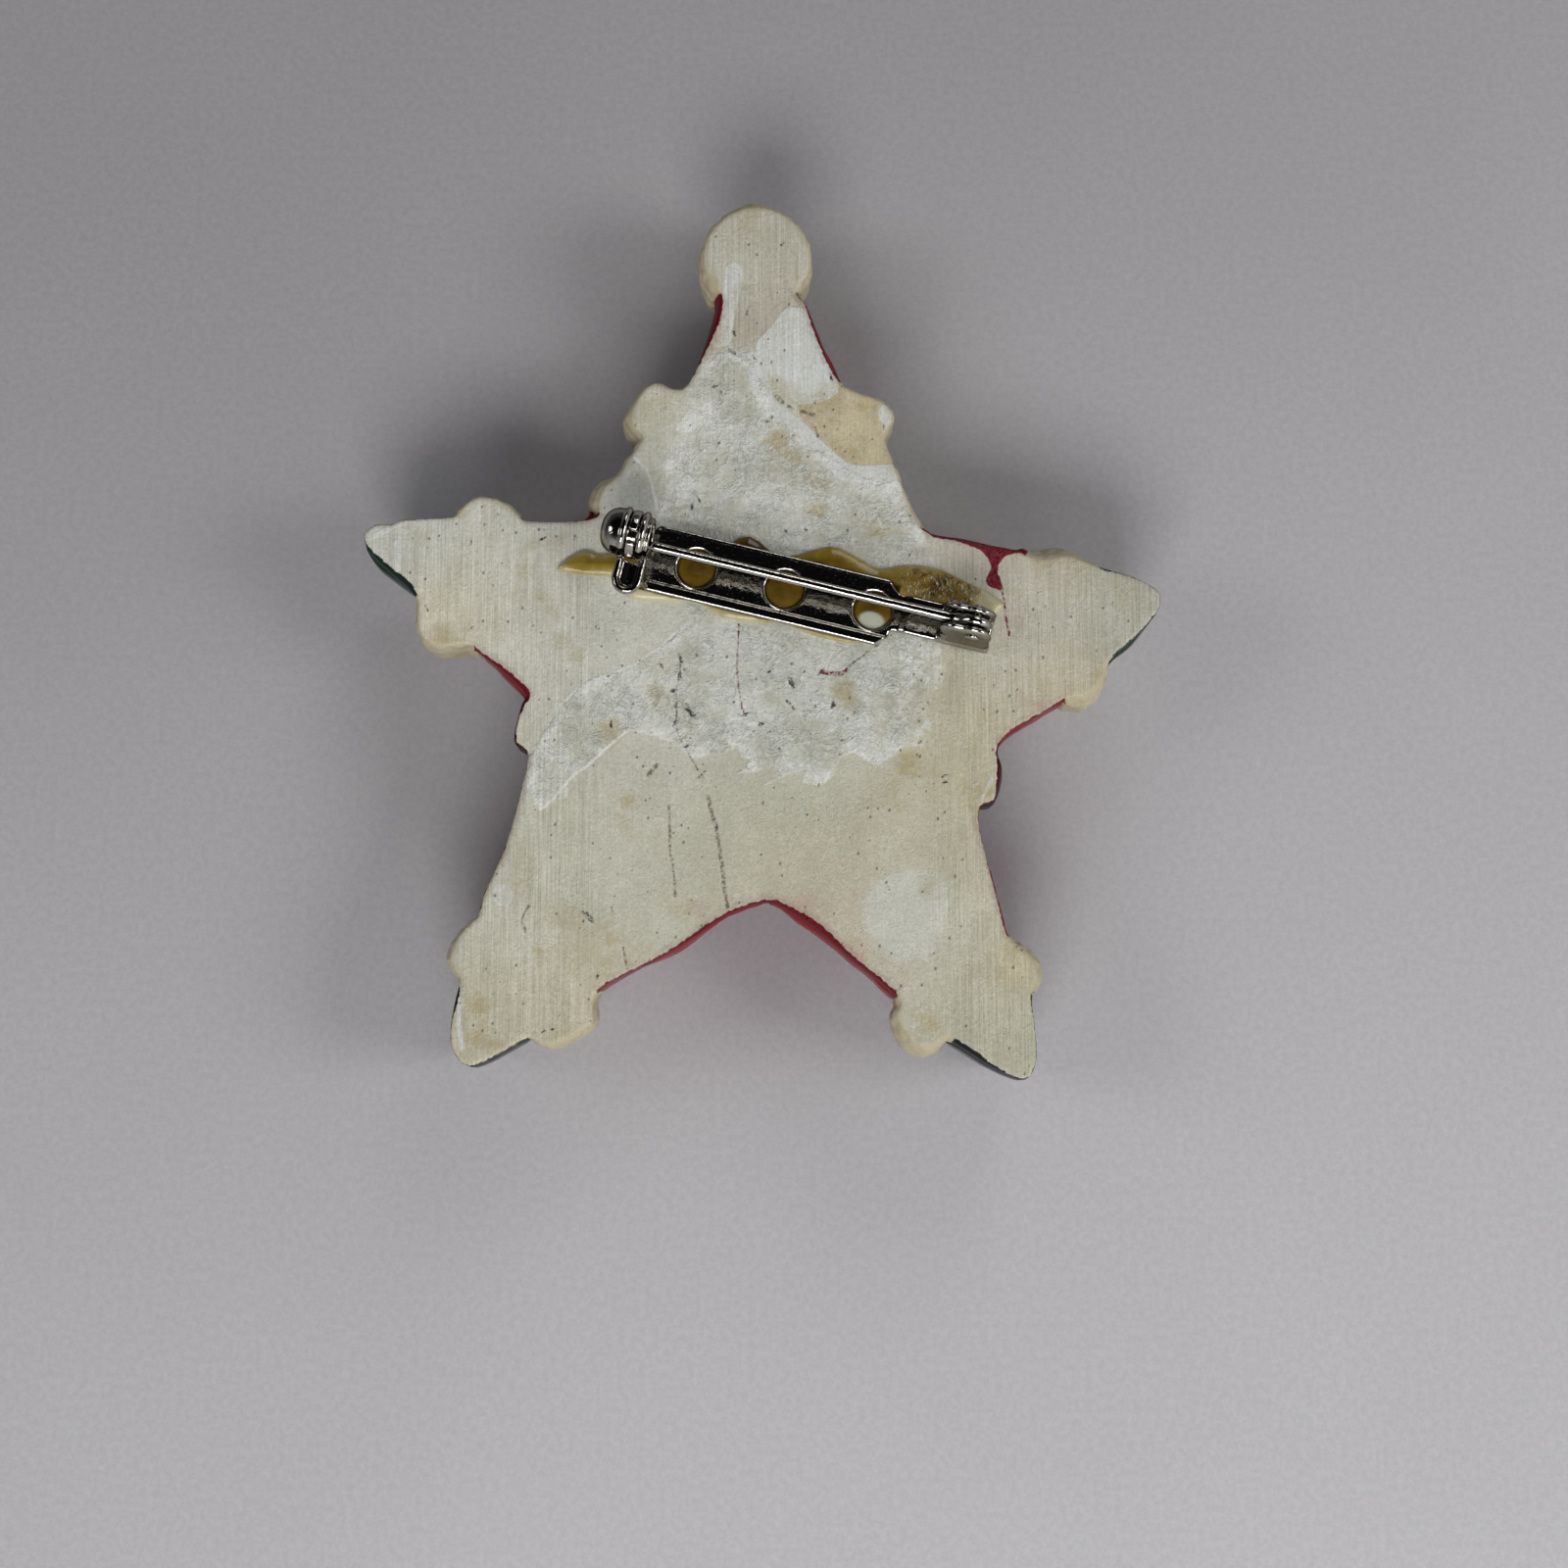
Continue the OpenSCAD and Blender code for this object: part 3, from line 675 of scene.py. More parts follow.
MARKS = [
    ((-6.5, -3.4), 0.22), ((-6.4, -2), 0.18), ((-5.6, -6.3), 0.28), ((-5.8, -5.7), 0.15),
    ((-6.8, -5.8), 0.15), ((-6.8, -7.1), 0.2), ((-6.9, -4.5), 0.15), ((-6, -9), 0.2),
    ((-4.7, -11.2), 0.2), ((-3.5, -15.3), 0.2), ((2.4, -3.9), 0.3), ((2.2, -5.5), 0.22),
    ((2.5, -5.8), 0.15), ((5.7, -5.6), 0.22), ((0.7, -2.9), 0.14), ((0, -7.2), 0.18), ((0.7, -7.8), 0.12),
    ((-0.6, -7.8), 0.12), ((-11.9, -7.2), 0.16), ((-13.4, -22.7), 0.3), ((-13.7, -22.4), 0.2),
    ((-11.7, -21.9), 0.12), ((-12.8, -27.2), 0.15), ((-17, -31.5), 0.12), ((-16.2, -31.3), 0.12),
    ((-3.7, 20.5), 0.16), ((-3.4, 15.8), 0.14), ((5.6, 21.2), 0.16), ((2, 8.4), 0.14), ((3.6, 8.6), 0.12),
    ((9.9, 17.1), 0.1), ((12.6, -8.6), 0.12), ((14.4, -11.4), 0.12), ((14.5, -11.9), 0.15),
    ((-17.6, 7.8), 0.12), ((-23.3, 7.5), 0.14), ((-26.7, 2.1), 0.12), ((-8.1, 10.6), 0.12),
    ((-5, 11), 0.12), ((-5.6, 10.5), 0.14), ((4.7, -3), 0.16), ((-1.3, -6.4), 0.16), ((-2.1, -5.4), 0.1),
    ((1.6, 32.4), 0.1), ((-1.2, 26.6), 0.12), ((-2.2, 24.9), 0.12), ((-0.5, 22.8), 0.12),
    ((-8, -2.5), 0.1), ((-15, 8), 0.12)]
BROWNS = [
    ((-17.4, -25.5), 0.6), ((-11.6, -24.4), 0.4), ((-22.3, -29.7), 1), ((-22.3, -32.2), 0.7),
    ((-20.5, -32.3), 0.6), ((-8.3, -5), 0.7), ((-12, -7.8), 0.8), ((1.2, 15.8), 0.8), ((2.7, 14.5), 0.6),
    ((9.2, 8.6), 0.6), ((4.5, 12.5), 0.9), ((6.7, -4.6), 0.8), ((17.6, -12.6), 0.7), ((27, -3.2), 0.6),
    ((23, 6.6), 0.8), ((-25.5, -0.4), 0.8), ((20.3, -24.8), 0.8), ((18.8, -26.5), 0.3),
    ((13, -30.8), 0.8), ((4.5, 10), 0.7), ((8.1, 18.8), 0.3), ((-4.4, 29.5), 0.5), ((11.6, -10.4), 1),
    ((7.3, 14.8), 0.6), ((-10.4, -13.5), 0.7)]
PINKS = [
    ((6, -18.3), 0.35), ((7.4, -20.7), 0.2), ((-3.9, 26.5), 0.7), ((20.5, 0.5), 0.25), ((-19.4, -6), 0.6),
    ((3, -21.5), 0.9), ((7.5, -25), 0.9), ((-5, -22), 0.8), ((16.6, -17), 0.4), ((22, -5.8), 0.8)]
RED_LINES = [
    ([(-1.8, 0.9), (-1.9, -1.5), (-1.9, -3.5), (-1.7, -5), (-1.4, -6.3)], 0.02),
    ([(4.8, -3), (5.3, -3.1), (6.4, -3.15), (6.8, -2.8)], 0.13),
    ([(19.2, 3.9), (19.3, 3.5), (19.4, 2.5), (19.5, 1.5), (19.7, 0.4), (19.8, -0.1)], 0.05)]
# Red paint that ran over the right shoulder's edge
SPILL_LOOP = [
    (12.8, 9.4), (13.8, 8), (15.5, 7.7), (17.1, 7.1), (17.8, 6.7), (18.3, 5.9), (18.4, 5.3), (18, 4.7),
    (18, 4.1), (18.6, 3.8), (19.2, 3.6), (19.2, 4.4), (18.95, 5), (19, 5.7), (19.5, 6.4), (20.5, 6.7),
    (21.2, 6.9), (21, 8.5)]
# Where paint shows over the back's rim: place, reach, width
RIMS = [
    ((-20, -3.6), 2, 0.22), ((-18.9, -4.8), 0.7, 0.25), ((4.5, -22.8), 2.6, 0.3),
    ((-5, -23.2), 2.4, 0.16), ((-28.3, 4.4), 1.2, 0.35), ((-30.4, 6.3), 0.9, 0.2),
    ((-24.4, 10.3), 0.4, 0.3), ((16.5, -32.6), 1.6, 0.25), ((18.9, -11), 1.2, 0.25),
    ((-23.8, -29), 1, 0.2), ((-3.9, 26.5), 2.5, 0.25), ((5, 24.5), 2, 0.12), ((27.5, 5.6), 0.8, 0.12),
    ((-19.6, -8.6), 0.8, 0.15), ((9.5, -27.5), 2, 0.12)]


def resin():
    """The sanded back: ivory with white, tan and chalky patches, stains, cracks and runs of paint."""
    m, kit = material("bare_resin")
    fine = kit.noise(2.2, 4, 0.6)
    grain = kit.noise(4.2, 3, 0.75)
    broad = kit.noise(0.45, 4, 0.65)
    scroll = kit.step(kit.ridged(0.9, 4, 0.7, warp=1.2), 0.78, 0.98)
    edge = kit.swing(fine, 2.0)
    rag = kit.swing(broad, 3.0)

    def within(name, start, end, much=0.1, rough=0.0):
        """1 inside a mark whose distance is stored on the mesh, with a frayed edge."""
        frayed = kit.plus(kit.value(name), kit.plus(kit.times(edge, much), kit.times(rag, rough)))
        return kit.step(frayed, start, end)

    brushed = kit.value("brushed")
    chalk = within("chalk", 0.12, -0.2, 0.30, 0.35)
    white = within("white", 0.07, -0.07, 0.08)
    ridge = kit.times(within("ridge", 0.17, 0.04, 0.10), kit.blend(kit.step(broad, 0.35, 0.5), 0.75, 1.0))
    curl = kit.step(kit.ridged(0.7, 4, 0.7, warp=1.0), 0.45, 0.9)
    strip = kit.times(chalk, within("chalk", -1.7, -0.25, 0.30, 0.35))
    shore = kit.times(strip, kit.step(kit.noise(0.35), 0.42, 0.55), kit.blend(curl, 0.25, 1.0))
    cloudy = kit.noise(0.2, 4, 0.6)

    # Ground, patches and smears
    colour = kit.tint("ground")
    colour = kit.shade(kit.step(broad, 0.35, 0.7), colour, (1.07, 1.07, 1.08))
    patchy = kit.blend(kit.step(broad, 0.35, 0.6), 0.25, 0.85)
    colour = kit.mix(kit.times(chalk, patchy), colour, seen(183, 186, 181))
    colour = kit.mix(within("grey", 0.1, -0.1), colour, seen(172, 173, 166))
    colour = kit.mix(kit.times(within("smear", 0.4, -0.6, 0.3, 0.35), 0.7), colour, seen(184, 186, 179))
    tan_tone = kit.mix(kit.step(broad, 0.4, 0.65), seen(176, 166, 138), seen(163, 151, 120))
    colour = kit.mix(within("tan", 0.06, -0.06, 0.06), colour, tan_tone)
    colour = kit.mix(kit.times(white, 0.92), colour, seen(188, 191, 188))
    mottled = kit.mix(kit.step(cloudy, 0.38, 0.62), (0.81, 0.80, 0.75), (1.10, 1.10, 1.13))
    colour = kit.shade(kit.blend(chalk, 0.3, 1.0), colour, mottled)
    light = kit.most(kit.times(ridge, 0.9), kit.times(shore, 0.8))
    colour = kit.mix(light, colour, seen(204, 206, 203))

    # Sanding lines, scuffs and grain
    streak = kit.noise(1.0, 4, 0.75, stretch=(8.0, 0.12, 0.2))
    lines = kit.mix(kit.step(streak, 0.28, 0.72), (0.76, 0.75, 0.70), (1.20, 1.20, 1.21))
    colour = kit.shade(brushed, colour, lines)
    scuffed = kit.times(kit.most(chalk, 0.35), kit.step(broad, 0.32, 0.6))
    colour = kit.mix(kit.times(scroll, scuffed, 0.5), colour, seen(199, 202, 197))
    colour = kit.shade(kit.times(kit.step(fine, 0.62, 0.38), scuffed), colour, (0.86, 0.86, 0.83))
    sandy = kit.mix(kit.step(grain, 0.3, 0.72), (0.89, 0.88, 0.85), (1.09, 1.09, 1.10))
    colour = kit.shade(1.0, colour, sandy)

    # Stains
    vein = kit.step(kit.ridged(0.8, 4, 0.75, warp=0.8), 0.55, 0.95)
    stain = kit.times(within("brown", 0.6, -0.7, 0.7, 1.2), kit.blend(vein, 0.15, 1.0))
    colour = kit.mix(kit.times(stain, 0.6), colour, seen(148, 132, 88))
    colour = kit.mix(kit.times(within("pink", 0.4, -0.5, 0.4, 0.6), 0.22), colour, seen(165, 120, 115))
    olive = kit.times(kit.step(kit.noise(0.22, 3, 0.6), 0.55, 0.72), kit.times(vein, 0.45))
    colour = kit.mix(olive, colour, seen(150, 142, 108))

    # Pits, flecks, cracks and paint
    crowd = kit.step(kit.noise(0.28, 2), 0.56, 0.36)
    pits = kit.step(kit.plus(kit.cells(1.3, (1.0, 0.7, 1.0)), kit.times(crowd, 0.16)), 0.17, 0.06)
    colour = kit.mix(kit.times(pits, 0.65), colour, seen(92, 86, 74))
    flecks = kit.step(kit.noise(6.0, 2, 0.7, stretch=(1.0, 0.6, 1.0)), 0.66, 0.73)
    colour = kit.mix(kit.times(flecks, 0.6), colour, seen(104, 98, 84))
    dots = kit.noise(3.2, 2, 0.6)
    broken = kit.blend(kit.step(dots, 0.40, 0.60), 0.2, 1.0)
    crack = kit.times(within("crack", 0.10, 0.0, 0.07), kit.times(broken, 0.85))
    colour = kit.mix(crack, colour, seen(86, 78, 64))
    scratchy = kit.step(kit.noise(4.5, 3, 0.8), 0.38, 0.52)
    colour = kit.mix(kit.times(within("mark", 0.10, -0.06, 0.35), scratchy), colour, seen(52, 48, 46))
    thread = kit.times(within("red_line", 0.09, 0.0, 0.10), kit.blend(kit.step(dots, 0.44, 0.54), 0.3, 1.0))
    spill = within("spill", 0.04, -0.04, 0.14)
    red = kit.most(thread, spill)
    red_tone = kit.mix(kit.step(grain, 0.40, 0.66), seen(86, 22, 34), seen(122, 54, 62))
    colour = kit.mix(red, colour, red_tone)
    # a band of the wall's colour inside the back's edge: red paint run over it, and painted shade where the
    # wall is fur
    halo = kit.times(within("rim", -0.55, -0.05, 0.5, 0.4), kit.times(kit.value("halo"), 0.45))
    colour = kit.mix(halo, colour, kit.tint("wall"))
    over = within("rim", -0.05, 0.05, 0.20)
    colour = kit.mix(over, colour, kit.tint("wall"))
    kit.put("Base Color", colour)

    gloss = kit.most(over, red)
    kit.put("Roughness", kit.blend(gloss, kit.blend(fine, 0.5, 0.7), 0.4))
    kit.put("Specular IOR Level", kit.blend(gloss, 0.5, 0.15))
    height = kit.plus(kit.times(streak, brushed, 0.6), kit.times(fine, 0.45))
    height = kit.plus(height, kit.times(scroll, scuffed, 0.6))
    for mask, much in ((white, 0.25), (shore, 0.5), (ridge, 0.15), (chalk, 0.1), (red, 0.4), (pits, -0.8)):
        height = kit.plus(height, kit.times(mask, much))
    kit.put("Normal", kit.bump(height, 0.09))
    return m


def furry():
    """Ivory paint over the lumps of the fur, with painted shade in its creases."""
    m, kit = material("ivory_fur", roughness=0.5)
    fine = kit.noise(3.0, 3, 0.6)
    # painted shade: the ivory darkens in the creases between the lumps
    crease_shade = kit.step(kit.value("crease_shade"), 0.35, 0.85)
    tone = kit.mix(crease_shade, seen(*FUR_SEEN), seen(132, 120, 92))
    shadowed = kit.shade(1.0, tone, (0.84, 0.82, 0.76))
    kit.put("Base Color", kit.mix(kit.step(fine, 0.3, 0.8), tone, shadowed))
    kit.put("Normal", kit.bump(fine, 0.06))
    return m


def painted(name, tone, rough=0.3):
    """Hand-laid paint under a satin varnish, a little darker in cloudy patches."""
    m, kit = material(name)
    cloud = kit.noise(0.5, 4, 0.6)
    brush = kit.noise(1.6, 3, 0.55, stretch=(1.0, 1.0, 0.3))
    deep = tuple(c * 0.6 for c in tone)
    kit.put("Base Color", kit.mix(kit.step(cloud, 0.3, 0.75), tone, deep))
    kit.put("Roughness", kit.blend(brush, rough, rough + 0.12))
    kit.put("Specular IOR Level", 0.25)
    kit.put("Coat Weight", 0.12)
    kit.put("Coat Roughness", 0.2)
    kit.put("Normal", kit.bump(brush, 0.03))
    return m


def skin():
    """Flesh paint with rosy cheeks and dark eyes set in white."""
    m, kit = material("skin_paint", roughness=0.35)
    cheek = kit.step(kit.value("cheek"), 1.8, 0.2)
    tone = kit.mix(kit.times(cheek, 0.6), seen(196, 150, 126), seen(186, 96, 84))
    tone = kit.mix(kit.step(kit.value("eye"), 0.62, 0.54), tone, seen(205, 203, 196))
    tone = kit.mix(kit.step(kit.value("iris"), 0.36, 0.30), tone, seen(40, 30, 26))
    kit.put("Base Color", tone)
    kit.put("Coat Weight", 0.3)
    kit.put("Normal", kit.bump(kit.noise(1.8, 3), 0.03))
    return m


BARE = resin()
FUR = furry()
RED = painted("red_paint", seen(122, 22, 30))
GREEN = painted("green_paint", seen(22, 48, 36))
BLACK = painted("black_paint", seen(18, 18, 20), 0.25)
GOLD = painted("gold_paint", seen(176, 138, 66), 0.3)
SKIN = skin()

# ------------ the painted relief


def relief(name, slot_name, look, step, texture=None, edge_round=EDGE_ROUND):
    """One padded region of the front, with texture(points) added to its skin."""
    low, high = node_box(name)
    ground = low[2]

    def field(p):
        z = p[..., 2]
        f = upright(edge_plan, p) + rim(z, upright(swell_plan, p), ground, edge_round)
        f = smax(f, ground - z, 1.2)
        groove = np.clip((SEAM_Z - 0.4 - z) * 0.6, 0.02, 0.5)
        f = smax(f, upright(parting[name], p) + 0.03, groove)
        if texture:
            near = np.abs(f) < 1.0
            f[near] -= texture(p[near])
        return np.maximum(f, z - SEAM_Z)

    reach = 1.3
    lo = (low[0] - reach, low[1] - reach, max(ground - 0.6, -0.2))
    hi = (high[0] + reach, high[1] + reach, SEAM_Z + 0.2)
    thing = piece(name, *surface(field, lo, hi, step), "ornament", slot_name, look)
    if look is FUR:
        furrow(thing)
    return thing


def furrow(thing):
    """Marks the creases between a fur piece's lumps, where its paint is darkened as painted shade."""
    attribute(thing, "crease_shade", 1 - lumps(places(thing), FUR_LUMP, FUR_SEED))


def level(name):
    return node_box(name)[0][2]


FUR_LUMP = 0.95
FUR_SEED = 3
FUR_HEIGHT = 0.38


def fur(p):
    return FUR_HEIGHT * (lumps(p, FUR_LUMP, FUR_SEED) - 0.55) + 0.10 * noise(p, 0.5, 12)


def cloth(p):
    return 0.22 * noise(p * np.array([1.0, 1.0, 0.6]), 3.2, 5, 2)


for region in ("pompom", "hat_brim", "hair", "left_wrist_cuff", "right_wrist_cuff", "left_ankle_cuff",
               "right_ankle_cuff"):
    relief(region, "ivory_fur", FUR, 0.22, fur, 4.0 if region == "pompom" else EDGE_ROUND)
for region in ("hat", "coat", "left_sleeve", "right_sleeve", "left_leg", "right_leg"):
    relief(region, "red_paint", RED, 0.33, cloth)
for region in ("left_mitten", "right_mitten"):
    relief(region, "green_paint", GREEN, 0.3, cloth)
for region in ("belt", "left_boot", "right_boot"):
    relief(region, "black_paint", BLACK, 0.33)

# ------------ the bare back

TOP_STEP = 0.14


def back_field(p):
    """The slab: the wall furry where fur comes up to it, the top a little uneven."""
    z = p[..., 2]
    x, y = columns(p)
    f = upright(edge_plan, p) + rim(z, upright(swell_plan, p), 0, EDGE_ROUND)
    fluffy = np.isin(sample_region(x, y), FLUFFY)[:, :, None]
    near = (np.abs(f) < 1.0) & fluffy & (z < BACK_Z - 0.1)
    f[near] -= fur(p[near]) * 1.1
    wave = 0.05 * noise(np.stack([x, y, 0 * x], -1), 4.0, 21, 2)[:, :, None]
    f = smax(f, z - BACK_Z - wave, 0.25)
    return np.maximum(f, SEAM_Z - 0.02 - z)


def sample_region(x, y):
    ix = np.clip(((x - plan_low[0]) / PLAN_STEP).round().astype(int), 0, nearest_region.shape[0] - 1)
    iy = np.clip(((y - plan_low[1]) / PLAN_STEP).round().astype(int), 0, nearest_region.shape[1] - 1)
    return nearest_region[ix, iy]


def spot_distance(x, y, spots):
    """Distance to the nearest of some round spots' edges."""
    return np.min([np.hypot(x - at[0], y - at[1]) - r for at, r in spots], axis=0)


def fleck_distance(x, y, spots):
    """The same for flecks: each spot drawn out along a slant of its own."""
    reach = []
    for k, (at, r) in enumerate(spots):
        slant = 1.3 + 1.1 * np.sin(7 * k)
        along = (x - at[0]) * np.cos(slant) + (y - at[1]) * np.sin(slant)
        across = (y - at[1]) * np.cos(slant) - (x - at[0]) * np.sin(slant)
        reach.append(np.hypot(along / 1.7, across / 0.6) - r)
    return np.min(reach, axis=0)


def line_distance(x, y, lines):
    return np.min([to_path(x, y, path) - width for path, width in lines], axis=0)


def loop_distance(x, y, loops):
    return np.min([to_loop(x, y, np.array(loop)) for loop in loops], axis=0)


def ground_tone(x, y):
    """The bare back's colour: the soft spots' mean, weighted by nearness."""
    total = np.zeros((len(x), 3))
    weight = np.zeros(len(x))
    for at, reach, colour in SPOTS:
        w = bell(x, y, at, reach) + 1e-6
        total += w[:, None] * np.array(seen(*colour))
        weight += w
    toward_feet = np.clip((-y - 2) / 28, 0, 1)
    return total / weight[:, None] * (1 - 0.08 * toward_feet)[:, None]


FLUFFY = [REGIONS.index(n) for n in REGIONS if n not in WALLS]


def make_back():
    low, high = node_box("back_slab")
    verts, faces = surface(back_field, (low[0] - 1.5, low[1] - 1.5, SEAM_Z - 0.3),
                           (high[0] + 1.5, high[1] + 1.5, BACK_Z + 0.3), (TOP_STEP, TOP_STEP, 0.2))
    back = piece("back_slab", verts, faces, "ornament", "bare_resin", BARE)
    x, y = verts[:, 0], verts[:, 1]
    edge = sample(edge_plan, x, y)
    blobs = loop_distance(x, y, [rounded(loop, 3) for loop in WHITE_LOOPS])
    attribute(back, "white", np.minimum(blobs, line_distance(x, y, WHITE_BANDS)))
    # The chalk's edge is soft at its right and at its upper left
    faded = np.clip((x - 9.0) / 3, 0, 1) * np.clip((9.0 - y) / 4, 0, 1)
    faded = faded + np.clip((-2 - x) / 3, 0, 1) * np.clip((y - 9) / 3, 0, 1)
    attribute(back, "chalk", loop_distance(x, y, [CHALK_LOOP]) * (1 - 0.85 * faded))
    for name, loop in (("smear", SMEAR_LOOP), ("grey", GREY_LOOP), ("tan", rounded(TAN_LOOP, 2)),
                       ("spill", rounded(SPILL_LOOP, 2))):
        attribute(back, name, loop_distance(x, y, [loop]))
    for name, measure, marks in (("ridge", line_distance, RIDGES), ("crack", line_distance, CRACKS),
                                 ("red_line", line_distance, RED_LINES), ("mark", fleck_distance, MARKS),
                                 ("brown", spot_distance, BROWNS), ("pink", spot_distance, PINKS)):
        attribute(back, name, measure(x, y, marks))
    attribute(back, "rim", edge + (0.05 + bumps(x, y, RIMS)))
    lean_x = (sample(edge_plan, x + 0.3, y) - sample(edge_plan, x - 0.3, y)) / 0.6
    lean_y = (sample(edge_plan, x, y + 0.3) - sample(edge_plan, x, y - 0.3)) / 0.6
    inside = np.clip(edge + 0.45, 0, 2)  # the wall takes its paint from the region inward of it
    region = sample_region(x - lean_x * inside, y - lean_y * inside)
    attribute(back, "wall", np.array([seen(*WALLS.get(n, FUR_SEEN)) for n in REGIONS])[region])
    attribute(back, "halo", np.array([HALOS.get(WALLS.get(n), 0.0) for n in REGIONS])[region])
    arms = np.clip((np.abs(x - 0.5) - 12.0) / 3.0, 0, 1)
    head = np.maximum(0.4 * np.clip((y - 11) / 4, 0, 1), np.clip((y - 22) / 3, 0, 1))
    attribute(back, "brushed", 0.15 + 0.85 * np.maximum(arms, head))
    attribute(back, "ground", ground_tone(x, y))


make_back()

# ------------ the face side's details

CLOTH_Z = level("coat")


def feature(name, slot_name, look, shape, step=0.18, grow=0.6):
    """A raised feature of the front: shape(points) in millimetres, within its CAD node's box."""
    low, high = node_box(name)
    lo = (low[0] - grow, low[1] - grow, max(low[2] - 0.3, -0.1))
    hi = (high[0] + grow, high[1] + grow, high[2] + 0.45)

    def field(p):
        return np.maximum(shape(p), p[..., 2] - high[2] - 0.25)

    thing = piece(name, *surface(field, lo, hi, step), "ornament", slot_name, look)
    if look is FUR:
        furrow(thing)
    return thing


def middle(name):
    low, high = node_box(name)
    return (low + high) / 2


def ellipsoid(p, at, radii):
    q = (p - np.array(at)) / np.array(radii)
    length = np.sqrt((q**2).sum(-1))
    return (length - 1) * min(radii)


FACE = middle("face")
CHEEKS = [(FACE[0] + side * 2.9, FACE[1] - 1.3) for side in (-1, 1)]
EYES = [(FACE[0] + side * 2.0, FACE[1] + 0.8) for side in (-1, 1)]


def face_shape(p):
    f = ellipsoid(p, (FACE[0], FACE[1], CLOTH_Z + 0.2), (5.3, 3.5, 1.7))
    for x, y in CHEEKS:
        f = smin(f, ellipsoid(p, (x, y, CLOTH_Z - 0.9), (1.5, 1.3, 1.1)), 0.5)
    for x, y in EYES:
        f = smax(f, -ellipsoid(p, (x, y + 0.1, CLOTH_Z - 1.9), (0.95, 0.6, 0.7)), 0.4)
        f = smin(f, ellipsoid(p, (x, y, CLOTH_Z - 1.0), (0.6, 0.5, 0.5)), 0.1)
    return f


def nose_shape(p):
    at = middle("nose")
    return ellipsoid(p, (at[0], at[1], node_box("nose")[1][2] + 0.1), (1.45, 1.25, 1.55))


def make_face():
    face = feature("face", "skin_paint", SKIN, face_shape, 0.14)
    x, y, _ = places(face).T
    for name, spots in (("cheek", CHEEKS), ("eye", EYES), ("iris", EYES)):
        attribute(face, name, spot_distance(x, y, [(at, 0.0) for at in spots]))
    nose = feature("nose", "skin_paint", SKIN, nose_shape, 0.14)
    for name, distance in (("cheek", 0.6), ("eye", 9.0), ("iris", 9.0)):  # rosy all over, and no eyes
        attribute(nose, name, np.full(len(nose.data.vertices), distance))


BEARD_LOOP = top_loop("beard")
BUCKLE_TURN = math.radians(-6)


def strands(p, at):
    """Locks that fan out from a point."""
    angle = np.arctan2(p[..., 0] - at[0], at[1] - p[..., 1])
    away = np.hypot(p[..., 0] - at[0], p[..., 1] - at[1])
    return 0.16 * np.sin(17 * angle + 1.1 * np.sin(0.8 * away)) + 0.12 * noise(p, 0.9, 31, 2)


def beard_shape(p):
    plan = to_loop(*columns(p), BEARD_LOOP)[:, :, None]
    lock = strands(p, (FACE[0], FACE[1] + 2.0))
    top = level("beard") + 0.15 + 1.5 * np.clip(1 + plan / 3.2, 0, 1) ** 2
    return smax(plan + 0.25 - lock, top - p[..., 2] - lock, 0.8)


def moustache_shape(p):
    """Two lobes to a side, meeting under the nose."""
    _, top, front = node_box("moustache")[1]
    f = np.full(p.shape[:-1], 9.0)
    for side in (-1, 1):
        inner = (FACE[0] + side * 1.5, top - 1.2, front + 0.1)
        outer = (FACE[0] + side * 4.6, top - 2.0, front + 0.1)
        f = smin(f, ellipsoid(p, inner, (1.9, 1.2, 1.4)), 0.3)
        f = smin(f, ellipsoid(p, outer, (1.7, 0.7, 1.0)), 0.6)
    return f - strands(p, (FACE[0], FACE[1] - 1.0)) * 0.7


def buckle_shape(p):
    at = middle("belt_buckle")
    c, n = math.cos(BUCKLE_TURN), math.sin(BUCKLE_TURN)
    x = (p[..., 0] - at[0]) * c + (p[..., 1] - at[1]) * n
    y = (p[..., 1] - at[1]) * c - (p[..., 0] - at[0]) * n
    outer = smax(np.abs(x) - 3.7, np.abs(y) - 2.7, 0.9)
    inner = smax(np.abs(x) - 2.4, np.abs(y) - 1.4, 0.5)
    return smax(smax(outer, -inner, 0.3), level("belt_buckle") - p[..., 2], 0.5)


make_face()
feature("beard", "ivory_fur", FUR, beard_shape, 0.2, 0.8)
feature("moustache", "ivory_fur", FUR, moustache_shape, 0.16, 0.6)
feature("belt_buckle", "gold_paint", GOLD, buckle_shape, 0.16, 0.3)

# ------------ the bar pin

# The pin's own frame: u from the catch to the hinge, v across the bar, w out of the back
PIN_AT = np.array([1.85, 3.56, BACK_Z])
PIN_TURN = math.radians(-13.7)
HOLES = [-7.23, 0.0, 7.23]
HOLE_R = 1.55
BAR_U = (-11.7, 8.9)
BAR_HALF = 2.75
BAR_BEVEL = 0.9
DIAGONAL = 0.7071
STEM_V = 0.3
STEM_W = 3.6
STEM_R = 0.375
STEM_TIP = -13.6
STEM_ROOT = 14.6
CATCH_V = 0.85
TAB_W = STEM_W - 0.7
UNLOCK = math.radians(53)  # the turn that brings the catch's slot to the top
RIVET_U = 15.3
EAR_R = 1.5
TONGUE_END = 16.8
STRIP_HALF = 1.3  # the narrow strip that carries the keeper
KEEPER_U = -12.4
KEEPER_HALF = 0.35
BARREL_R = 1.5
BARREL_BORE = 1.15
BARREL_END = -13.9
TAB_U = -12.17
TAB_R = 0.92


def in_row(p):
    """The pin's own frame to the ornament's."""
    c, n = math.cos(PIN_TURN), math.sin(PIN_TURN)
    return PIN_AT + np.stack([p[:, 0] * c - p[:, 1] * n, p[:, 0] * n + p[:, 1] * c, p[:, 2]], 1)


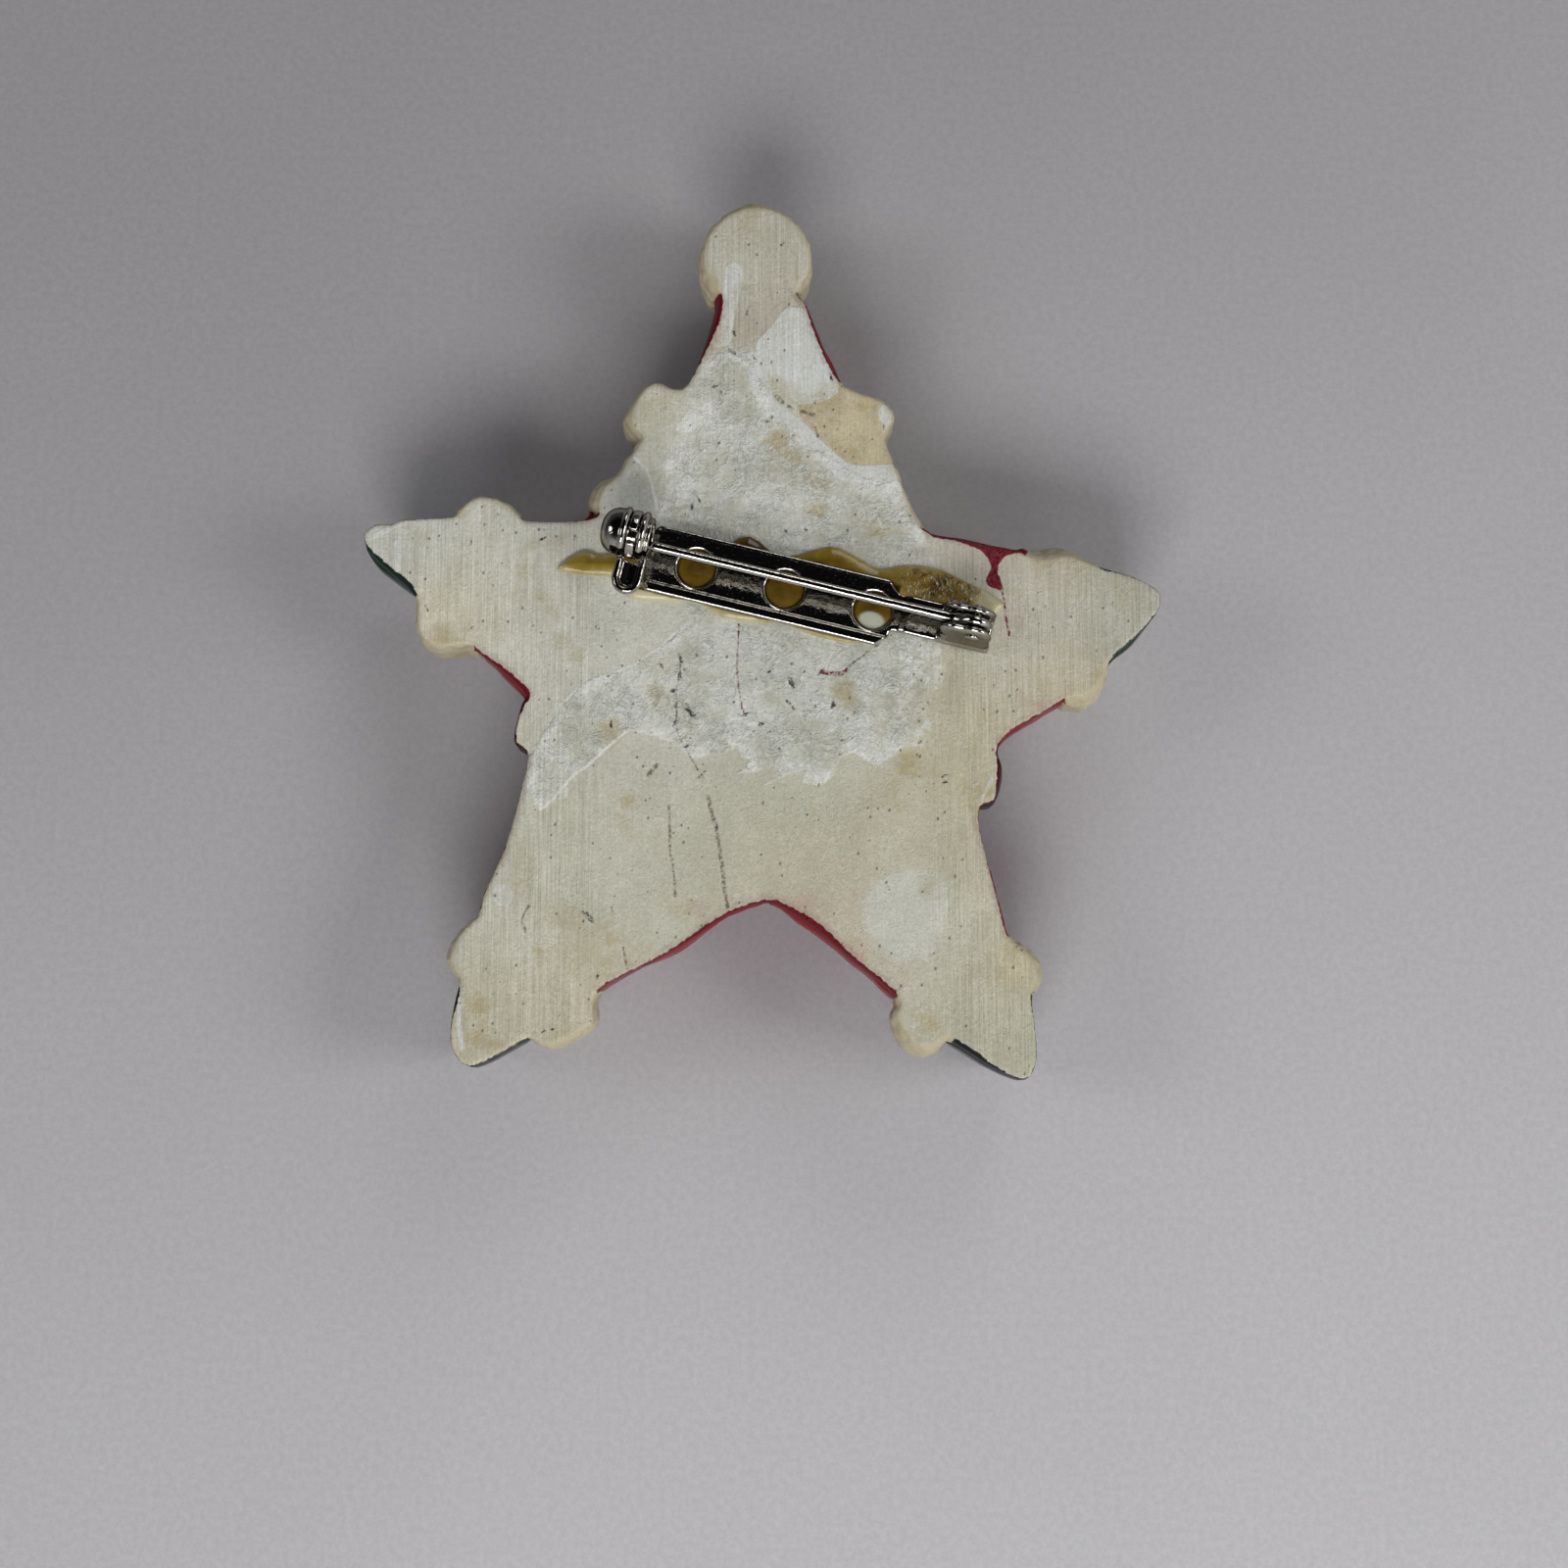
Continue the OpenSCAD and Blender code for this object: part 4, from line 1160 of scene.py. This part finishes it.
def settle(verts, field, turns=3, reach=0.02):
    """Moves vertices onto the field's zero, for clean reflections."""
    for _ in range(turns):
        f = field(verts)
        slope = np.stack([(field(verts + d) - field(verts - d)) / (2 * reach) for d in np.eye(3) * reach], 1)
        move = np.clip(f / np.maximum((slope**2).sum(1), 0.2), -0.05, 0.05)
        verts = verts - move[:, None] * slope
    return verts


def metal(name, field, lo, hi, step, body):
    """A metal piece, and its vertices' heights over the casting's back."""
    verts, faces = surface(field, lo, hi, step)
    thing = piece(name, in_row(settle(verts, field)), faces, body, "nickel", NICKEL)
    return thing, places(thing)[:, 2] - BACK_Z


def around_catch(p):
    return np.hypot(p[..., 1] - CATCH_V, p[..., 2] - STEM_W)


def slot_gap(p, half):
    """Negative in the slot that opens upwards over the stem."""
    return np.maximum(np.abs(p[..., 1] - STEM_V) - half, STEM_W - p[..., 2])


def ramp(x, start, end):
    t = np.clip((x - start) / (end - start), 0, 1)
    return t * t * (3 - 2 * t)


def bar_shape(p):
    u, v, w = p[..., 0], p[..., 1], p[..., 2]
    du = np.abs(u - sum(BAR_U) / 2) - (BAR_U[1] - BAR_U[0]) / 2
    dv = np.abs(v) - BAR_HALF
    plan = overlap(du, dv, (du + dv + BAR_BEVEL) * DIAGONAL)
    tongue = overlap(np.abs(v - STEM_V) - 1.55, u - TONGUE_END, 8 - u)
    strip = overlap(np.abs(v - CATCH_V) - STRIP_HALF, KEEPER_U - KEEPER_HALF - u, u + 10)
    plan = smin(smin(plan, tongue, 0.4), strip, 0.2)
    for at in HOLES:
        plan = smax(plan, HOLE_R - np.hypot(u - at, v), 0.15)
    # The sheet is lifted along both long edges, and at the hinge's tongue
    wide = 1 - ramp(u, 8.6, 9.2)
    lift = 0.36 * ramp(-v, 1.8, 2.05) * wide + 0.24 * ramp(u, 9.4, 10.1)
    lift = lift + 0.10 * ramp(v, 2.35, 2.5) * wide
    f = smax(plan, np.abs(w - 0.55 - lift) - 0.25, 0.3)
    spread = 0.09 * (STEM_W + EAR_R - w)
    ear = overlap(12.5 + 0.22 * (w - 0.3) - u, u - TONGUE_END, w - STEM_W, 0.35 - w)
    for at, up, radius in ((RIVET_U, 0.0, EAR_R), (RIVET_U - 1.3, -0.1, 1.4)):
        ear = smin(ear, np.hypot(u - at, w - STEM_W - up) - radius, 0.25)
    for side in (-1, 1):
        face = side * (v - STEM_V) - 0.79 - spread
        f = smin(f, smax(ear, np.abs(face) - 0.3, 0.55), 0.3)
    rho = around_catch(p)
    thick = np.abs(u - KEEPER_U) - KEEPER_HALF
    ring = smax(np.abs(rho - 1.755) - 0.175, thick, 0.15)
    ring = smax(ring, -slot_gap(p, 0.5), 0.1)
    foot = overlap(np.abs(v - CATCH_V) - STRIP_HALF, thick, w - 2.6, 0.35 - w)
    foot = smax(foot, 1.58 - rho, 0.1)
    return smin(f, smin(ring, foot, 0.1), 0.15)


def rivet_shape(p):
    u, v, w = p[..., 0], p[..., 1] - STEM_V, p[..., 2]
    across = np.hypot(u - RIVET_U, w - STEM_W)
    f = smax(across - 0.34, np.abs(v) - 1.3, 0.05)
    for side in (-1, 1):
        head = ellipsoid(np.stack([u, v, w], -1), (RIVET_U, side * 1.2, STEM_W), (0.62, 0.24, 0.62))
        f = smin(f, head, 0.05)
    return f


def stem_shape(p):
    u, v, w = p[..., 0], p[..., 1] - STEM_V, p[..., 2]
    radius = np.interp(u, [STEM_TIP, STEM_TIP + 3, 8.6, 13.0], [0.1, STEM_R, STEM_R, 0.44])
    shaft = overlap(np.hypot(v, w - STEM_W) - radius, STEM_TIP - u, u - STEM_ROOT)
    across = np.hypot(u - RIVET_U, w - STEM_W)
    knuckle = smax(across - 1.35, np.abs(v) - 0.42, 0.55)
    return smax(smin(shaft, knuckle, 0.9), np.maximum(0.42 - across, np.abs(v) - 0.46), 0.02)


def catch_shape(p):
    u, v, w = p[..., 0], p[..., 1], p[..., 2]
    rho = around_catch(p)
    # Two rims and a bead: place, half width and height
    radius = BARREL_R
    for at, half, much in ((-13.14, 0.36, 0.55), (-11.66, 0.34, 0.52), (-11.15, 0.14, 0.14)):
        radius = np.maximum(radius, BARREL_R + much * np.sqrt(np.clip(1 - ((u - at) / half) ** 2, 0, 1)))
    f = overlap((rho - radius) * 0.8, -13.4 - u, u + 11.0)
    dome = (np.abs(u + 13.15) ** 2.6 + rho**2.6) ** (1 / 2.6) - 1.9
    f = smin(f, np.maximum(dome, u + 13.3), 0.08)
    f = smax(f, -np.maximum(rho - BARREL_BORE, BARREL_END - u), 0.1)
    # The slot, turned aside while the catch is locked
    c, n = math.cos(UNLOCK), math.sin(UNLOCK)
    y, z = v - CATCH_V, w - STEM_W
    turned = np.stack([u, CATCH_V + y * c + z * n, STEM_W + z * c - y * n], -1)
    f = smax(f, -np.maximum(slot_gap(turned, 0.45), BARREL_END - u), 0.15)
    # The thumb tab: a looped edge round a dished web
    root, bend = CATCH_V - 1.75, CATCH_V - 3.45
    down = np.clip(v, bend, root)
    from_bend = np.hypot(u - TAB_U, v - bend)
    legs = np.hypot(np.abs(u - TAB_U) - TAB_R, v - down)
    arc = np.where(v < bend, np.abs(from_bend - TAB_R), 9.0)
    loop = smax(np.minimum(legs, arc) - 0.31, np.abs(w - TAB_W) - 0.34, 0.45)
    inner = np.where(v < bend, from_bend, np.abs(u - TAB_U)) - 0.8
    dished = np.abs(w - TAB_W + 0.12 + 0.25 * np.clip(-inner, 0, 0.8) ** 2) - 0.12
    web = overlap(inner, dished, v - CATCH_V + 2.02)
    return smin(f, smin(loop, web, 0.12), 0.12)


def nickel():
    """Bright plating over stamped steel, slightly dimpled, with dull specks where worn and painted shade on
    the catch's sides.
    """
    m, kit = material("nickel")
    dimple = kit.noise(1.5, 2, 0.5)
    grain = kit.noise(7.0, 3, 0.6)
    speck = kit.times(kit.step(kit.noise(5.0, 3, 0.85), 0.62, 0.70), kit.value("worn"))
    plating = kit.mix(kit.step(grain, 0.35, 0.75), (0.47, 0.45, 0.40), (0.37, 0.365, 0.35))
    # painted shade: the plating darkened where the mesh's value asks, on the catch's sides
    plating = kit.mix(kit.value("painted_shade"), plating, (0.09, 0.085, 0.07))
    kit.put("Base Color", kit.mix(speck, plating, seen(92, 98, 108)))
    kit.put("Metallic", kit.blend(speck, 1.0, 0.45))
    kit.put("Specular Tint", (0.35, 0.34, 0.32, 1))
    kit.put("Roughness", kit.blend(speck, 0.07, 0.3))
    kit.put("Normal", kit.bump(grain, 0.008, kit.bump(dimple, 0.035)))
    return m


NICKEL = nickel()
bar, height = metal("pin_bar", bar_shape, (-13.0, -3.0, 0.2), (17.1, 3.2, 5.7), (0.11, 0.11, 0.1), "ornament")
attribute(bar, "worn", ramp(height, 1.1, 0.8))  # only the flat of the bar, not its ears
metal("hinge_rivet", rivet_shape, (14.5, -1.4, 2.8), (16.1, 2.0, 4.4), 0.1, "ornament")
metal("pin_stem", stem_shape, (-13.8, -0.4, 2.0), (16.9, 1.0, 5.2), (0.14, 0.09, 0.09), "stem")
catch, height = metal("catch_barrel", catch_shape, (-15.3, -4.2, 1.3), (-10.8, 3.2, 5.9), 0.075, "catch")
# painted shade on the catch: darkest just below its axis, fading out towards its top
attribute(catch, "painted_shade", 0.85 * (1 - ramp(height, 3.4, 5.0)) * ramp(height, 3.0, 3.3))

# ------------ the adhesive

GLUE_KNOTS = [
    (-18.1, -2.6), (-17.3, -1.3), (-16.2, -0.5), (-14.6, -0.5), (-12.5, 1.5), (-11, 2.3), (-6, 2.4),
    (-3.8, 3.7), (-0.8, 2.7), (2.7, 4.4), (5, 4), (7, 3.6), (9, 4.4), (11.3, 4.7), (13.7, 4.2),
    (15.5, 3.8), (17.2, 3.1), (16.9, 2.2), (16.2, 0.6), (14.5, -0.9), (9.4, -1), (7.6, -2.4),
    (5.4, -2.95), (2.3, -2.9), (0.5, -2.5), (-1, -2.9), (-4.2, -3.3), (-6.5, -2.6), (-9, -3.1),
    (-11.6, -3.5), (-12.6, -2.9), (-13.7, -2.2), (-15.8, -2.5)]
GLUE_LOOP = rounded(GLUE_KNOTS, 3)


def torn(u, v):
    """1 where the adhesive dried rough, beyond the bar's hinge end."""
    return ramp(u, 7.8, 11.2) * (1 - ramp(u, 14.4, 16.0)) * ramp(v, 1.2, 2.2) * (1 - ramp(v, 3.9, 4.6))


def glue_height(u, v, plan):
    bead = 0.10 + 0.62 * np.sqrt(np.clip(-plan / 1.5, 0, 1))
    under = overlap(np.abs(v) - BAR_HALF + 0.1, u - BAR_U[1], BAR_U[0] - u)
    bead = np.where(under < 0, 0.22, bead)
    for at in HOLES:
        r = np.hypot(u - at, v)
        bead = np.where(r < HOLE_R - 0.06, 0.38 + 0.24 * (1 - (r / HOLE_R) ** 2), bead)
    return bead


def glue_shape(p):
    u, v, w = p[..., 0], p[..., 1], p[..., 2]
    plan = to_loop(*columns(p), GLUE_LOOP)[:, :, None]
    height = glue_height(u, v, plan)
    height = height + torn(u, v) * (0.26 * noise(p, 0.5, 41, 3) + 0.10)
    height = height + 0.05 * noise(p, 1.6, 43)
    return smax(smax(plan, w - height, 0.12), -0.12 - w, 0.02)


def amber():
    """Hardened glue: yellow where thin, brown where thick, crystalline where it was torn, with painted glints
    there.
    """
    m, kit = material("adhesive")
    torn_here = kit.value("torn")
    cloud = kit.noise(1.1, 4, 0.6)
    depth = kit.plus(kit.value("thick"), kit.swing(cloud, 0.5))
    tone = kit.ramp(depth, [(0.0, seen(164, 158, 126)), (0.3, seen(128, 112, 48)), (0.6, seen(98, 78, 28)),
                            (1.0, seen(58, 44, 18))])
    tone = kit.mix(kit.times(torn_here, 0.5), tone, seen(168, 134, 58))
    mottle = kit.times(kit.step(kit.noise(0.7, 4, 0.7), 0.54, 0.40), torn_here, 0.7)
    tone = kit.mix(mottle, tone, seen(78, 58, 26))
    tone = kit.mix(kit.value("bead"), tone, seen(160, 165, 148))
    shard = kit.noise(2.0, 4, 0.75, stretch=(1.0, 1.6, 1.0), warp=1.2)
    splinter = kit.noise(3.2, 3, 0.8, stretch=(2.0, 0.8, 1.0), warp=0.5)
    tone = kit.mix(kit.times(kit.step(shard, 0.50, 0.38), torn_here, 0.5), tone, seen(72, 44, 10))
    # painted highlights: near-white glints in the colour of the torn glue
    painted_glint = kit.times(kit.step(splinter, 0.55, 0.59), kit.times(kit.step(cloud, 0.38, 0.5), torn_here))
    kit.put("Base Color", kit.mix(painted_glint, tone, seen(232, 222, 184)))
    kit.put("Roughness", kit.blend(torn_here, 0.14, 0.24))
    kit.put("Specular IOR Level", 0.28)
    kit.put("Coat Weight", 0.05)
    kit.put("Coat Roughness", 0.08)
    rough = kit.plus(kit.times(kit.plus(shard, kit.times(painted_glint, 0.4)), torn_here), kit.times(cloud, 0.06))
    kit.put("Normal", kit.bump(rough, 0.35))
    return m


# Thicker, browner and paler spots in the glue: place, reach, how much
GLUE_TONES = [
    ((-2.8, 3), 1.8, 0.75), ((3, 3.6), 2, 0.12), ((-7.23, 0), 1.2, 0.45), ((0, 0), 1.2, 0.3),
    ((7.23, 0.6), 0.9, 0.4), ((13, 3.3), 0.9, 0.42), ((-5, -3), 2, -0.1), ((-10.5, -3.2), 1.6, -0.35),
    ((15.9, 2.9), 1.5, -0.6), ((-16, -1.8), 1.6, 0.02), ((8.5, 3.8), 1.2, 0.05)]


def make_glue():
    verts, faces = surface(glue_shape, (-18.6, -4.0, -0.2), (18.3, 5.2, 1.2), (0.13, 0.13, 0.1))
    glue = piece("adhesive", in_row(verts), faces, "ornament", "adhesive", amber())
    u, v = verts[:, 0], verts[:, 1]
    thick = 0.38 * np.clip(-to_loop(u, v, GLUE_LOOP) / 1.2, 0, 1)
    attribute(glue, "thick", 0.12 + (thick + bumps(u, v, GLUE_TONES)))
    attribute(glue, "torn", torn(u, v))
    attribute(glue, "bead", 1 - ramp(np.hypot((u - 7.3) / 1.2, (v + 0.75) / 0.75), 0.7, 1.0))


make_glue()
